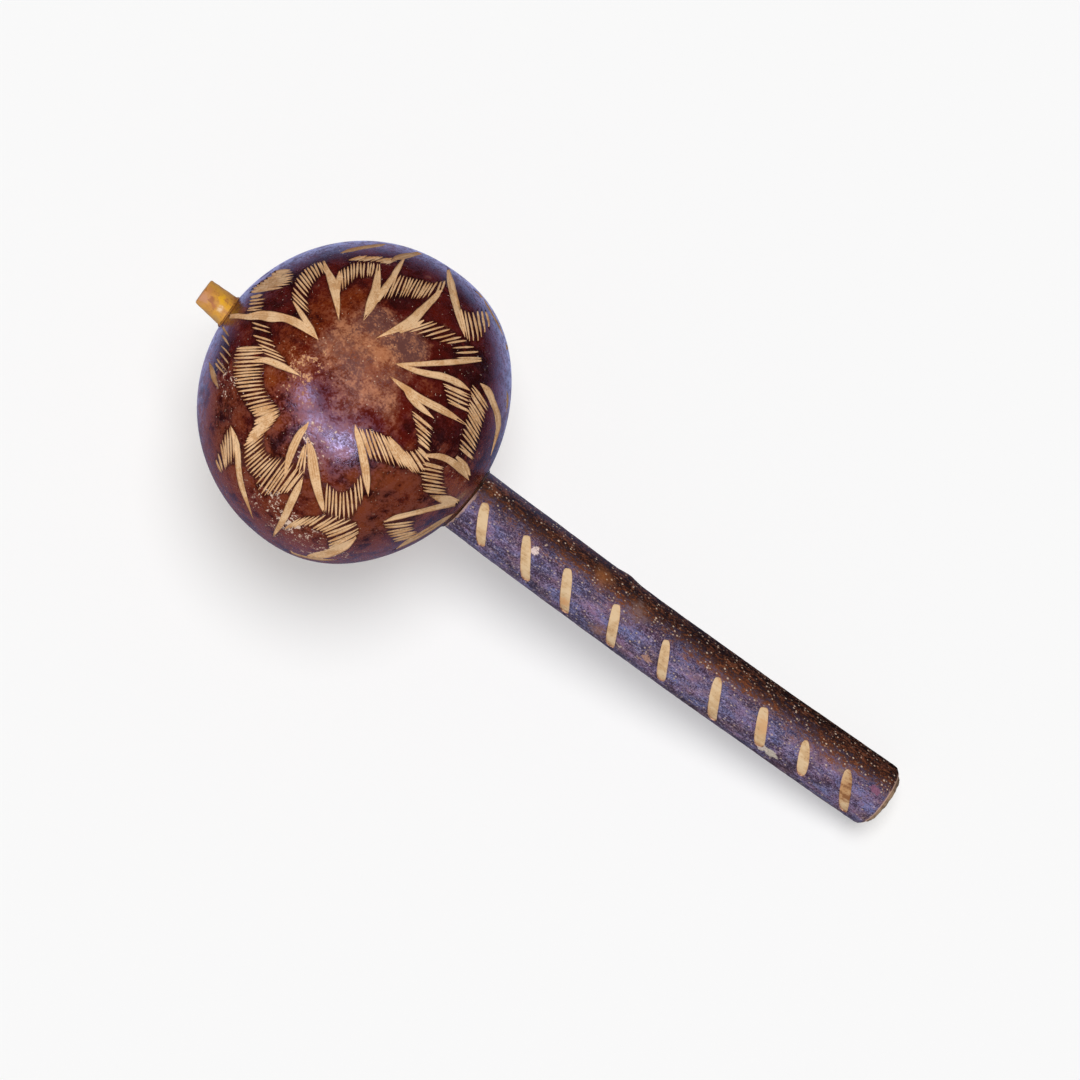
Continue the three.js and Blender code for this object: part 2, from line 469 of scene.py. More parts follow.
@dataclass
class MeshDraft:
    """Points in the stick's frame, faces and each face's finish, before they become a Blender mesh."""

    points: np.ndarray
    faces: list[Face]
    kinds: list[int]

    @classmethod
    def sleeve(cls, outer: np.ndarray, inner: np.ndarray, faces: list[Face]) -> "MeshDraft":
        """A shell between two like layers, closed along every open edge.

        Args:
            outer: points of the outer layer.
            inner: points of the inner layer.
            faces: faces of the outer layer.

        Returns:
            The closed shell.
        """
        count = len(outer)
        edges = dict.fromkeys(edge for face in faces for edge in zip(face, face[1:] + face[:1]))
        rims = [(a, b) for a, b in edges if (b, a) not in edges]
        walls = [(b, a, a + count, b + count) for a, b in rims]
        back = [tuple(i + count for i in reversed(face)) for face in faces]
        kinds = [BarkFace.SKIN] * len(faces) + [BarkFace.EDGE] * (len(walls) + len(back))
        return cls(np.concatenate([outer, inner]), faces + walls + back, kinds)

    @classmethod
    def lofted(cls, rings: list[np.ndarray], kinds: list[int]) -> "MeshDraft":
        """A closed body through rings, capped at both ends by a point in the middle of each end ring.

        Args:
            rings: points of each ring.
            kinds: the finish of each ring.

        Returns:
            The closed body.
        """
        sides = len(rings[0])
        points = np.concatenate(rings + [rings[0].mean(0)[None], rings[-1].mean(0)[None]])
        faces: list[Face] = []
        marks: list[int] = []
        for k in range(len(rings) - 1):
            for i in range(sides):
                j = (i + 1) % sides
                faces.append((k * sides + j, k * sides + i, (k + 1) * sides + i, (k + 1) * sides + j))
                marks.append(kinds[k + 1])
        first, last = len(points) - 2, len(points) - 1
        tail = (len(rings) - 1) * sides
        for i in range(sides):
            j = (i + 1) % sides
            faces.append((first, i, j))
            faces.append((last, tail + j, tail + i))
            marks += [kinds[0], kinds[-1]]
        return cls(points, faces, marks)

    @classmethod
    def ring(cls, loops: list[np.ndarray]) -> "MeshDraft":
        """A closed ring whose section runs through like loops.

        Args:
            loops: points of each loop.

        Returns:
            The closed ring.
        """
        sides, rows = len(loops[0]), len(loops)
        faces: list[Face] = []
        for k in range(rows):
            n = (k + 1) % rows
            for i in range(sides):
                j = (i + 1) % sides
                faces.append((k * sides + i, k * sides + j, n * sides + j, n * sides + i))
        return cls(np.concatenate(loops), faces, [0] * len(faces))

    def build(self, name: str, stick: StickFrame, finishes: list[bpy.types.Material],
              sharp_angle: float = 40.0) -> bpy.types.Object:
        """Makes the Blender object.

        Args:
            name: the piece's name.
            stick: the frame that the points are in.
            finishes: the material of each kind of face.
            sharp_angle: edges that turn by more than this many degrees stay sharp.

        Returns:
            The object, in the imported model's frame.
        """
        mesh = bpy.data.meshes.new(name)
        mesh.from_pydata(stick.out(self.points).tolist(), [], self.faces)
        for finish in finishes:
            mesh.materials.append(finish)
        mesh.polygons.foreach_set("material_index", [int(kind) for kind in self.kinds])
        mesh.update()
        mesh.validate()
        mesh.set_sharp_from_angle(angle=math.radians(sharp_angle))
        return linked(name, mesh)


@dataclass(frozen=True)
class Mark:
    """A mark on the stick, with its pixel, its reach in millimetres and its screen colour; most are scuffs
    and stains, a few on the peg are painted highlight and shade.
    """

    pixel: Pixel
    reach: float
    colour: tuple[int, int, int]
    soft: bool = False


@dataclass(frozen=True)
class Spot:
    """A mark found on the stick: its place in metres, its reach in millimetres and its colour."""

    place: Vector
    reach: float
    colour: Colour
    soft: bool = False


@dataclass(frozen=True)
class LacquerFinish:
    """Red-brown lacquer over gourd skin, rubbed matte on the crest and flecked with wear; painted warmer on
    its lit side, with painted shade along the cuts.
    """

    gourd_place: Vector
    lit_way: Vector
    crest_spot: Vector
    bare_spots: tuple[Vector, ...]
    mauve_spots: tuple[Vector, ...]
    amber_spots: tuple[Vector, ...]
    peach_spots: tuple[Vector, ...]
    worn_spots: tuple[Vector, ...]
    deep: Colour = tint(96, 21, 6)
    warm: Colour = tint(134, 65, 34)
    shade: Colour = tint(48, 11, 6)
    dark: Colour = tint(30, 5, 3)
    amber: Colour = tint(140, 64, 14)
    bare: Colour = tint(200, 130, 86)
    chestnut: Colour = tint(150, 84, 52)
    mauve: Colour = tint(108, 66, 58)
    peach: Colour = tint(218, 160, 108)
    fleck: Colour = tint(240, 210, 184)
    sheen: Colour = (0.52, 0.465, 0.8, 1.0)
    gloss: float = 2.0

    def material(self) -> bpy.types.Material:
        """The lacquer's nodes.

        Returns:
            The material.
        """
        book = NodeBook.material("gourd_lacquer")
        place = book.place()
        cloud = book.swing(place, 60.0, 3.0, 0.55)
        blotch = book.swing(place, 140.0, 4.0, 0.6)
        mottle = book.swing(place, 340.0, 5.0, 0.66)
        grain = book.swing(place, 1300.0, 3.0, 0.66)
        noises = (cloud, blotch, mottle, grain)
        near_cut = book.attribute("near_cut")
        colour = self._ground(book, place, noises)
        # Painted shade: the lacquer darkens along the cuts' edges.
        colour = book.mix(0.6 * near_cut * near_cut * near_cut, colour, self.dark)
        rubbed, worn_skin = self._crest(book, place, noises)
        colour = book.mix(rubbed, colour, worn_skin)
        peach = self._round(book, place, self.peach_spots, 0.002, 0.011)
        worn = self._round(book, place, self.worn_spots, 0.002, 0.015) * (0.9 + 0.5 * near_cut)
        chips = self._chips(book, place, 0.8 * peach + worn, mottle)
        colour = book.mix(0.92 * chips, colour, book.mix(peach, self.fleck, self.peach))
        dull = book.band(mottle + 0.7 * grain, -0.1, 0.12)
        rough = 0.16 + 0.24 * dull + 0.14 * rubbed + 0.2 * chips
        height = 0.6 * mottle + 0.4 * grain - 0.4 * chips
        return book.surface({
            "Base Color": colour, "Roughness": rough, "IOR": self.gloss, "Specular Tint": self.sheen,
            "Normal": book.bump(height, 0.35, 0.0003),
        })

    def _ground(self, book: NodeBook, place: Wire, noises: tuple[Wire, ...]) -> Wire:
        """The lacquer's colour: dark red and amber here and there, painted warmer on the lit lower-left
        side.

        Args:
            book: the material's nodes.
            place: where a point lies.
            noises: cloud, blotch, mottle and grain there.

        Returns:
            The colour.
        """
        cloud, blotch, mottle, grain = noises
        local = book.vector("SUBTRACT", place, tuple(self.gourd_place))
        # Painted light: the lacquer turns warmer towards the lit lower left of the picture.
        lit = book.band(book.vector("DOT_PRODUCT", local, tuple(self.lit_way), "Value"), -0.04, 0.04)
        depth = 0.9 * cloud + blotch + 0.5 * mottle + 0.4 * grain
        depth = depth + 0.35 * book.near(place, self.crest_spot, 0.008, 0.026)
        colour = book.mix(book.band(depth, -0.3, 0.22), self.shade, self.deep)
        warmth_and_light = lit + 2.4 * blotch + 1.4 * mottle + grain
        colour = book.mix(0.8 * book.band(warmth_and_light, 0.42, 1.15), colour, self.warm)
        glowing = self._round(book, place, self.amber_spots, 0.003, 0.02)
        glow = 0.55 * glowing + 1.6 * blotch + 1.6 * mottle + 1.6 * grain
        return book.mix(0.65 * book.band(glow, 0.2, 1.0), colour, self.amber)

    def _crest(self, book: NodeBook, place: Wire, noises: tuple[Wire, ...]) -> tuple[Wire, Wire]:
        """The gourd's crest, where the lacquer is rubbed away.

        Args:
            book: the material's nodes.
            place: where a point lies.
            noises: cloud, blotch, mottle and grain there.

        Returns:
            How far it is rubbed, and the colour of the skin there.
        """
        cloud, blotch, mottle, grain = noises
        crest = book.near(place, self.crest_spot, 0.002, 0.027) + 1.2 * cloud
        crest = crest + 0.9 * blotch + 0.8 * mottle + 0.6 * grain
        bruised = self._round(book, place, self.mauve_spots, 0.001, 0.009)
        rubbed = book.band(crest + 0.4 * bruised, 0.2, 0.95)
        stain = book.noise(place, 120.0, 5.0, 0.66) + 0.8 * grain + 0.14 * bruised
        worn_skin = book.mix(book.band(stain, 0.36, 0.64), self.chestnut, self.mauve)
        bared = self._round(book, place, self.bare_spots, 0.0006, 0.006)
        bared = 0.4 * bared + 2.2 * mottle + 2.8 * grain + blotch
        return rubbed, book.mix(0.8 * book.band(bared, -0.15, 0.85), worn_skin, self.bare)

    @staticmethod
    def _round(book: NodeBook, place: Wire, spots: tuple[Vector, ...], core: float, reach: float) -> Wire:
        """How near a place is to any of some spots: one inside their core, none beyond their reach.

        Args:
            book: the material's nodes.
            place: where a point lies.
            spots: the spots, in metres.
            core: the core's radius.
            reach: how far each spot reaches.

        Returns:
            The nearness.
        """
        share: Value = 0.0
        for spot in spots:
            share = book.near(place, spot, core, reach) + share
        return share

    @staticmethod
    def _chips(book: NodeBook, place: Wire, worn: Wire, mottle: Wire) -> Wire:
        """Pale flecks where the lacquer has broken away: many where it is worn, few elsewhere.

        Args:
            book: the material's nodes.
            place: where a point lies.
            worn: how worn the place is.
            mottle: the noise that scatters the chips.

        Returns:
            1 on a fleck, else 0.
        """
        coarse = book.noise(place, 1050.0, 2.0, 0.6)
        fine = book.noise(place, 2200.0, 1.0)
        loose = 0.6 * coarse + 0.4 * fine + 0.108 * worn * book.band(mottle, -0.1, 0.12)
        return book.band(loose, 0.666, 0.682)


@dataclass(frozen=True)
class CutFinish:
    """Pale gourd wall laid bare by the gouge, stained brown along the cut's edges and ridges."""

    pale: Colour = tint(236, 196, 152)
    mid: Colour = tint(202, 152, 102)
    stain: Colour = tint(112, 62, 34)

    def material(self) -> bpy.types.Material:
        """The cut's nodes.

        Returns:
            The material.
        """
        book = NodeBook.material("gourd_cut")
        place = book.place()
        patchy = book.noise(place, 160.0, 3.0)
        grain = book.noise(place, 1500.0, 3.0, 0.6)
        share = book.attribute("cut_depth")
        tone = book.attribute("cut_tone")
        strokes = book.node("ShaderNodeCombineXYZ", {}, {0: 0.012 * share, 1: 0.004 * patchy})
        slow_place = book.vector("MULTIPLY", place, (0.06, 0.06, 0.06))
        scraped = book.noise(book.vector("ADD", strokes, slow_place), 900.0, 2.0, 0.6)
        worked = patchy + 0.8 * (grain - 0.5) + 1.2 * (scraped - 0.5)
        colour = book.mix(book.band(worked, 0.36, 0.68), self.pale, self.mid)
        edge = book.band(share + 0.4 * (grain - 0.5), 0.56, 0.02)
        colour = book.mix(0.45 * edge, colour, self.stain)
        colour = book.mix(tone, colour, self.stain)
        return book.surface({
            "Base Color": colour, "Roughness": 0.62 + 0.2 * grain, "Specular IOR Level": 0.3,
            "Normal": book.bump(grain, 0.4, 0.0002),
        })


@dataclass(frozen=True)
class BarkFinish:
    """Dark waxed bark with a painted violet sheen on its lower-left side, brown rubbed bands, pale lenticels
    and scuffs.
    """

    handle: "Handle"
    scuffs: tuple[Spot, ...]
    black: Colour = tint(24, 11, 10)
    brown: Colour = tint(122, 68, 42)
    ember: Colour = tint(176, 112, 66)
    rose: Colour = tint(140, 106, 98)
    violet: Colour = tint(142, 108, 138)
    slate: Colour = tint(112, 118, 166)
    painted_glint: Colour = tint(186, 172, 198)
    dusk: Colour = tint(46, 30, 42)
    lenticel: Colour = tint(232, 202, 176)
    cut_pale: Colour = tint(214, 172, 146)
    cut_dark: Colour = tint(112, 72, 50)
    sheen: Colour = (0.6, 0.55, 1.0, 1.0)

    def edge(self) -> bpy.types.Material:
        """The bark where it is cut through: pale and fibrous.

        Returns:
            The material.
        """
        book = NodeBook.material("bark_edge")
        fibre = book.noise(book.place(), 1300.0, 4.0, 0.65)
        colour = book.mix(book.band(fibre, 0.4, 0.62), self.cut_pale, self.cut_dark)
        return book.surface({"Base Color": colour, "Roughness": 0.7})

    def material(self) -> bpy.types.Material:
        """The bark's skin.

        Returns:
            The material.
        """
        book = NodeBook.material("bark_skin")
        place = book.place()
        local, along, side, up = book.from_centre(self.handle.stick)
        drawn = book.node("ShaderNodeCombineXYZ", {}, {0: 0.4 * along, 1: side, 2: up})
        cloud = book.swing(drawn, 110.0, 4.0, 0.6)
        patch = book.swing(drawn, 330.0, 5.0, 0.68)
        streak = book.swing(drawn, 1100.0, 3.0, 0.7)
        fine = book.swing(place, 2000.0, 2.0, 0.7)
        noises = (cloud, patch, streak, fine)
        speckle = 2.4 * streak + 2.0 * fine
        length = along / MM
        rise = (side / MM - self.handle.offset(length)) / self.handle.grip_radius
        lean = rise + 1.1 * cloud + 0.9 * patch + 0.8 * speckle
        browned = 0.2 + 1.1 * speckle + 1.6 * patch + 1.2 * cloud
        colour = book.mix(book.band(browned, -0.05, 0.95), self.black, self.brown)
        # Painted sheen: the lower-left side of the bark takes the violet colour of mirrored light.
        painted_sheen = book.band(lean, 0.62, -0.1)
        colour = book.mix(0.95 * painted_sheen, colour, self._painted_sheen_colour(book, drawn, noises, rise, lean))
        # Fine specks: orange on the plain bark, and pale violet on the painted sheen, where they are painted
        # glints.
        spark = book.band(book.noise(drawn, 2600.0, 1.0) + 0.6 * streak, 0.6, 0.74)
        speck_and_glint = book.mix(painted_sheen, self.ember, self.painted_glint)
        colour = book.mix(spark * (0.35 + 0.15 * painted_sheen), colour, speck_and_glint)
        dots = self._lenticels(book, along, side, up)
        colour = book.mix(dots * (0.85 - 0.4 * painted_sheen), colour, self.lenticel)
        height = 0.4 * streak + 0.25 * fine + 0.5 * dots
        for scuff in self.scuffs:
            gap = book.vector("DISTANCE", place, tuple(scuff.place), "Value") + 0.012 * patch
            scuffed = self._scuffed(book, scuff, gap, speckle)
            if not scuff.soft:
                height = height - 0.4 * scuffed
            colour = book.mix(scuffed * (0.75 + 1.3 * fine), colour, scuff.colour)
        colour = self._worn_ends(book, colour, local, length, rise, patch)
        return book.surface({
            "Base Color": colour, "Roughness": 0.45 + 0.26 * fine, "IOR": 1.45,
            "Specular Tint": self.sheen, "Normal": book.bump(height, 0.6, 0.0004),
        })

    def _painted_sheen_colour(self, book: NodeBook, drawn: Wire, noises: tuple[Wire, ...], rise: Wire, lean: Wire) -> Wire:
        """The painted violet sheen of the bark's near, lower-left side, with its rose and dusky patches; the
        dusky ones gather towards the lower-left edge as painted shade.

        Args:
            book: the material's nodes.
            drawn: the place, drawn out along the stick.
            noises: cloud, patch, streak and fine grain there.
            rise: how far round to the far side the place lies, -1 to 1.
            lean: the same, made uneven.

        Returns:
            The bloom's colour.
        """
        cloud, patch, streak, fine = noises
        blue = book.noise(drawn, 260.0, 5.0, 0.7) + 0.6 * fine
        hue = book.mix(book.band(blue, 0.34, 0.66), self.violet, self.slate)
        hue = book.mix(book.band(lean, -0.2, 0.5), hue, self.rose)
        tanned = book.noise(drawn, 240.0, 5.0, 0.7) + 0.8 * fine
        hue = book.mix(0.7 * book.band(tanned, 0.5, 0.7), hue, self.rose)
        shaded = 1.5 * patch + 1.3 * cloud + 0.9 * streak + 2.4 * fine
        # Painted shade: more dusky patches towards the lower-left edge of the stick.
        shaded = shaded - 0.22 * book.band(rise, -0.3, -0.9)
        return book.mix(0.92 * book.band(shaded, 0.34, -0.46), hue, self.dusk)

    def _worn_ends(
        self, book: NodeBook, colour: Wire, local: Wire, length: Wire, rise: Wire, patch: Wire
    ) -> Wire:
        """Pale wear at the sawn butt and along the bark's edge at the gourd.

        Args:
            book: the material's nodes.
            colour: the colour so far.
            local: the way from the gourd's centre.
            length: how far along the stick, in millimetres.
            rise: how far round to the far side the place lies, -1 to 1.
            patch: the noise that breaks the edges up.

        Returns:
            The colour.
        """
        sawn = self.handle.bark_end
        butt = book.band(length + 1.4 * patch, sawn - 0.7, sawn - 0.2)
        colour = book.mix(0.85 * butt, colour, self.cut_pale)
        front = book.vector("LENGTH", local, (0.0, 0.0, 0.0), "Value") + 0.003 * patch
        rim = book.band(front, 0.0492, 0.0486) * book.band(rise, 0.3, 0.0)
        return book.mix(0.55 * rim, colour, self.cut_pale)

    @staticmethod
    def _scuffed(book: NodeBook, scuff: Spot, gap: Wire, speckle: Wire) -> Wire:
        """How much of a scuff shows at a gap from its middle: speckled where it is soft.

        Args:
            book: the material's nodes.
            scuff: the scuff.
            gap: how far off its middle a place is.
            speckle: fine noise there.

        Returns:
            The share, 0 to 1.
        """
        reach = scuff.reach * MM
        if scuff.soft:
            return 0.8 * book.band(gap + 1.6 * reach * speckle, 1.5 * reach, 0.1 * reach)
        return book.band(gap, 1.1 * reach, 0.7 * reach)

    @staticmethod
    def _lenticels(book: NodeBook, along: Wire, side: Wire, up: Wire) -> Wire:
        """Small pale breathing pores, scattered over the bark.

        Args:
            book: the material's nodes.
            along: how far along the stick, in metres.
            side: how far to its side.
            up: how far up.

        Returns:
            1 on a pore, else 0.
        """
        spots = book.node("ShaderNodeCombineXYZ", {}, {0: 0.8 * along, 1: side, 2: up})
        distance = book.cells(spots, 1000.0, "Distance")
        chance = book.node("ShaderNodeSeparateColor", {}, {0: book.cells(spots, 1000.0, "Color")}, 0)
        return book.band(distance + 0.4 * (1 - chance), 0.42, 0.2)


@dataclass(frozen=True)
class WoodFinish:
    """Whittled wood with its grain along the stick, and marks here and there: stains, and on the peg a
    painted highlight and painted shade at its root.
    """

    stick: StickFrame
    name: str
    pale: Colour
    mid: Colour
    dirt: Colour
    rough: float = 0.6
    blotch: float = 230.0
    stains_and_painted_light: tuple[Spot, ...] = ()

    def material(self) -> bpy.types.Material:
        """The wood's nodes.

        Returns:
            The material.
        """
        book = NodeBook.material(self.name)
        place = book.place()
        _, along, side, up = book.from_centre(self.stick)
        fibre = book.node("ShaderNodeCombineXYZ", {}, {0: 0.15 * along, 1: side, 2: up})
        streak = book.noise(fibre, 1100.0, 4.0, 0.6)
        cloud = book.noise(place, self.blotch, 4.0, 0.6)
        grain = book.noise(place, 1700.0, 2.0)
        colour = book.mix(book.band(cloud + 0.5 * (streak - 0.5), 0.4, 0.64), self.pale, self.mid)
        # Marks painted in their colours: mostly stains, but on the peg one is a painted highlight and those
        # at its root add painted shade.
        for stain in self.stains_and_painted_light:
            reach = stain.reach * MM
            gap = book.vector("DISTANCE", place, tuple(stain.place), "Value")
            gap = gap + reach * (3.0 * (cloud - 0.5) + 2.0 * (streak - 0.5) + 1.2 * (grain - 0.5))
            colour = book.mix(0.85 * book.band(gap, 1.5 * reach, 0.3 * reach), colour, stain.colour)
        dirty = book.band(grain + 0.7 * (streak - 0.5) + 0.7 * (cloud - 0.5), 0.58, 0.82)
        colour = book.mix(0.55 * dirty, colour, self.dirt)
        return book.surface({
            "Base Color": colour, "Roughness": self.rough + 0.15 * streak,
            "Normal": book.bump(0.6 * streak + 0.4 * grain, 0.4, 0.0002),
        })


@dataclass(frozen=True)
class PlainFinish:
    """A mottled finish for glue, seeds and the gourd's inside."""

    name: str
    first: Colour
    second: Colour
    scale: float
    rough: float

    def material(self) -> bpy.types.Material:
        """The finish's nodes.

        Returns:
            The material.
        """
        book = NodeBook.material(self.name)
        place = book.place()
        cloud = book.noise(place, self.scale, 4.0)
        grain = book.noise(place, self.scale * 4, 3.0)
        colour = book.mix(book.band(cloud + 0.3 * (grain - 0.5), 0.35, 0.65), self.first, self.second)
        return book.surface({
            "Base Color": colour, "Roughness": self.rough + 0.15 * grain,
            "Normal": book.bump(0.5 * cloud + 0.5 * grain, 0.4, 0.0003),
        })


def settle(piece: bpy.types.Object, node: str, body: str = BODY) -> None:
    """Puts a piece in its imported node's place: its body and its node.

    Args:
        piece: the dressed piece.
        node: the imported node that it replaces.
        body: the body that it rides on.
    """
    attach(piece, body)
    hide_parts(node)
    LOG.info("%s stands for %s on %s, %d faces", piece.name, node, body, len(piece.data.polygons))


@dataclass(frozen=True)
class Arm:
    """One blade of the carving: stations of x, y and width along its middle, in picture pixels."""

    stations: tuple[Station, ...]
    tone: float = 0.0


@dataclass(frozen=True)
class Row:
    """A row of short cuts that runs through key cuts, in picture pixels."""

    keys: tuple[Cut, ...]
    steps: tuple[int, ...]
    width: float
    tone: float = 0.0


# Blades of the star, clockwise from the top, and the outer fans' blades
ARMS: tuple[Arm, ...] = (
    Arm(((323, 260, 2), (327.5, 271, 6), (333, 284, 11), (336.5, 300, 8.5), (339, 321, 0))),
    Arm(((339.5, 270, 1), (338.7, 279, 6), (336.5, 292, 8))),
    Arm(((378.8, 262, 3), (377.5, 277, 8), (375.5, 291, 11), (370.5, 305, 11), (363.3, 321, 0))),
    Arm(((404.5, 257, 2), (399, 266, 6), (392.5, 277, 7), (385, 288, 8), (377, 300, 6))),
    Arm(((441, 289, 4), (437, 295, 7), (430, 302, 8), (421, 311, 10), (408, 323, 11), (375, 338.5, 0))),
    Arm(((425, 319, 1), (415, 325, 6), (400, 331, 5))),
    Arm(((394, 363.7, 0), (412, 364.3, 5), (440, 363, 6.5), (462, 361.7, 6), (480, 361, 2))),
    Arm(((397, 364.5, 1), (408, 368, 5), (421, 372.5, 7), (443, 377, 8), (458, 384, 7), (469, 391, 0))),
    Arm(((389.4, 375.8, 0), (398, 383, 5), (408, 390.5, 8), (421, 399.5, 8.5), (443, 411, 8),
         (466, 425, 1))),
    Arm(((404, 390, 2), (410, 398.5, 6), (421, 408.5, 7), (433, 418.5, 0))),
    Arm(((355, 424, 0), (357, 433, 6), (360, 443, 8), (364, 461, 9.5), (366.4, 479, 8), (368, 495, 0))),
    Arm(((388, 436, 2), (396, 447, 8), (404, 459, 8), (412, 471, 1))),
    Arm(((309.5, 421.5, 0), (305, 428, 6), (300, 434.5, 8.5), (293, 449, 9), (288.5, 462, 7),
         (285, 476, 1))),
    Arm(((308, 437, 1), (311.5, 451, 9), (314, 468, 12), (317.4, 486, 10), (322, 503, 6), (325, 513, 0))),
    Arm(((254, 361.5, 3), (266, 360.5, 7), (278, 364.5, 8), (290, 370, 6), (301.7, 376.5, 0))),
    Arm(((229, 316.5, 3), (238, 316, 5), (248, 317, 6), (260, 315.5, 10), (272, 317, 12), (284, 318, 9),
         (296, 322.5, 10), (306, 329, 8), (318.5, 340, 0))),
    Arm(((292.5, 300.5, 1), (299, 310, 5), (306, 321, 7), (312, 330, 6), (318.5, 340, 0))),
    Arm(((303.6, 475.5, 0), (299, 486, 7), (293.3, 498, 9), (284, 518, 8), (277, 530, 5), (272.5, 537, 0))),
    Arm(((308, 554, 1), (318, 553, 6), (328, 551, 8), (345, 543.5, 8), (356, 535, 1))),
    Arm(((230, 425, 0), (234, 437, 6), (237, 449, 7), (238.5, 471, 6), (242, 489, 5.5), (253, 520, 0))),
    Arm(((422.7, 454, 3), (437.6, 455.4, 7), (449, 460, 8), (460.5, 469, 9), (469, 480.5, 0))),
    Arm(((455, 456, 3), (461, 461.5, 6), (466, 468, 5.5), (470, 476, 1))),
    Arm(((429, 494.5, 1), (440, 498, 8), (450, 500, 9), (459, 501.5, 3))),
    Arm(((457, 502.5, 5), (437.6, 506.3, 5.5), (414.6, 511.7, 5.5), (395, 516, 5.5), (383.5, 520.5, 0))),
    Arm(((396, 548.5, 0), (408, 541.5, 5), (421, 534.6, 7), (440, 523, 6), (454, 513.5, 0)), 0.25),
    Arm(((478.5, 383.5, 1), (485.8, 391, 7), (492.7, 405, 6), (497, 417, 6), (497.5, 430, 5),
         (490.5, 456, 0))),
    Arm(((448, 268.5, 1), (451, 283, 6), (454.8, 299, 7), (460.5, 322, 6), (464.3, 337.5, 0))),
    Arm(((476.6, 292, 0), (483.5, 303.5, 3), (489.5, 315, 3.5), (498, 331, 3), (506, 350, 0)), 0.4),
    Arm(((339, 252.8, 0), (348, 250, 3.5), (357, 247.6, 4.5), (371, 245.4, 3.5), (386, 243.6, 0)), 0.35),
    Arm(((391, 258.8, 0), (398, 256.6, 4), (406, 254.8, 4), (423, 252.2, 0)), 0.35),
    Arm(((208.5, 361, 0), (212.5, 373, 5), (215, 381, 4), (219, 389, 0)), 0.45),
    Arm(((505.5, 390, 0), (507, 401, 2.5), (506.5, 413, 0)), 0.4),
    Arm(((289, 549.5, 0), (300, 553.5, 3), (318, 556.8, 3), (337, 557.4, 0)), 0.3),
)

# Rows of short cuts, from the peg round by the top
ROWS: tuple[Row, ...] = (
    Row((((291.4, 295.6), (309.7, 313.4)), ((296.5, 277.8), (309, 292.7)), ((309.7, 265), (317.8, 279)),
         ((319.5, 261.7), (325, 272.6))), (4, 5, 3), 3.0),
    Row((((341.7, 269), (343.4, 290)), ((351, 263), (351, 282)), ((361.2, 261), (360.7, 277)),
         ((374.4, 261.6), (371.6, 276.5))), (3, 3, 4), 2.9),
    Row((((396, 272), (384, 298)), ((408.3, 275), (399, 296.6)), ((421, 278), (411, 297)),
         ((434, 281), (423, 298)), ((445, 279.4), (441, 293))), (4, 4, 4, 3), 3.0),
    Row((((433.6, 320), (404, 330.5)), ((450.8, 329.4), (424, 336.8)), ((466, 341.4), (445.6, 344.2)),
         ((477, 352.4), (453.6, 352.4)), ((479.5, 359), (456, 357.6))), (3, 3, 2, 1), 2.9),
    Row((((442, 384), (469.7, 395.5)), ((447, 402), (469, 413))), (5,), 3.0),
    Row((((411, 411), (431.4, 428.2)), ((417, 440), (428.4, 450))), (7,), 2.9),
    Row((((400, 449), (415, 472)), ((411, 450), (424, 469)), ((417, 447), (428, 456))), (4, 3), 3.2),
    Row((((360, 428), (370, 459)), ((373.3, 430.5), (386, 463.5)), ((389, 437), (405, 467))), (4, 5), 3.4),
    Row((((252.5, 323), (270.5, 328.3)), ((253.5, 335), (274, 342)), ((264.5, 353), (287.3, 361.6))),
        (2, 4), 2.5),
    Row((((236, 348.5), (265, 348)), ((233, 366.8), (264, 365)), ((236, 387.4), (264.4, 384.6)),
         ((249.5, 411.5), (275.3, 404.6))), (5, 6, 6), 3.0),
    Row((((252, 413.5), (277, 405.5)), ((255, 421), (280, 410)), ((250, 433), (279, 416)),
         ((246, 442), (271, 427)), ((243.4, 446), (264.6, 431.3))), (2, 3, 3, 1), 4.6),
    Row((((243.4, 446), (264.6, 431.3)), ((245, 466.6), (265.8, 449.4)), ((254.3, 479), (276, 457.4)),
         ((261, 495), (287.6, 458)), ((287, 493), (304, 470))), (5, 4, 3, 7), 2.9),
    Row((((303.5, 446), (295, 472)), ((306.5, 443), (304, 474))), (2,), 2.8),
    Row((((327.8, 483), (326.6, 512)), ((337, 490), (335.8, 518)), ((346.7, 490), (349, 517)),
         ((360, 474.6), (362.2, 499))), (3, 3, 4), 2.9),
    Row((((285, 529), (302, 517)), ((304, 525), (320, 514)), ((317, 528), (338, 515)),
         ((325.5, 532.5), (355.3, 520.5)), ((329.5, 545), (358.8, 531))), (4, 3, 3, 4), 2.8),
    Row((((215.3, 459.7), (221, 473.5)), ((220.4, 444.8), (224.4, 470)), ((229, 427.6), (230.2, 464.3)),
         ((234.2, 433.3), (235.9, 455.1))), (2, 4, 2), 2.6, 0.15),
    Row((((422.7, 461), (442.2, 467)), ((419.2, 470.4), (442.2, 476)), ((422.7, 488.7), (447, 492.2))),
        (3, 5), 2.9),
    Row((((384.2, 523.7), (414.6, 520.3)), ((386, 530), (413.5, 526.6)), ((393.4, 540.4), (419, 534.6))),
        (2, 4), 2.8),
    Row((((471, 385), (487, 408)), ((468, 400), (482, 421.6)), ((465, 419), (478, 439.4)),
         ((457, 447), (473, 460))), (4, 5, 6), 2.8),
    Row((((461.3, 309), (466, 340)), ((468, 312.7), (472.5, 341.8)), ((476, 312), (479.5, 338)),
         ((484, 313), (486.5, 327))), (2, 2, 2), 2.4),
    Row((((349, 259.5), (362, 254.5)), ((367, 260), (380, 255)), ((387, 262), (400, 256.8))),
        (5, 5), 2.4, 0.2),
    Row((((250, 297), (263, 294.5)), ((250.5, 292), (284, 288)), ((256, 285.5), (292, 281)),
         ((266, 278), (293, 274)), ((275, 271.8), (290, 269.8))), (1, 2, 3, 2), 3.0, 0.3),
    Row((((249, 301), (265.5, 299)), ((246.5, 311), (263, 309.3))), (3,), 1.8, 0.2),
    Row((((221.5, 326), (228.5, 336)), ((220.5, 345), (230.5, 357.5)), ((215, 363), (224.8, 374.5))),
        (2, 3), 1.9, 0.3),
)


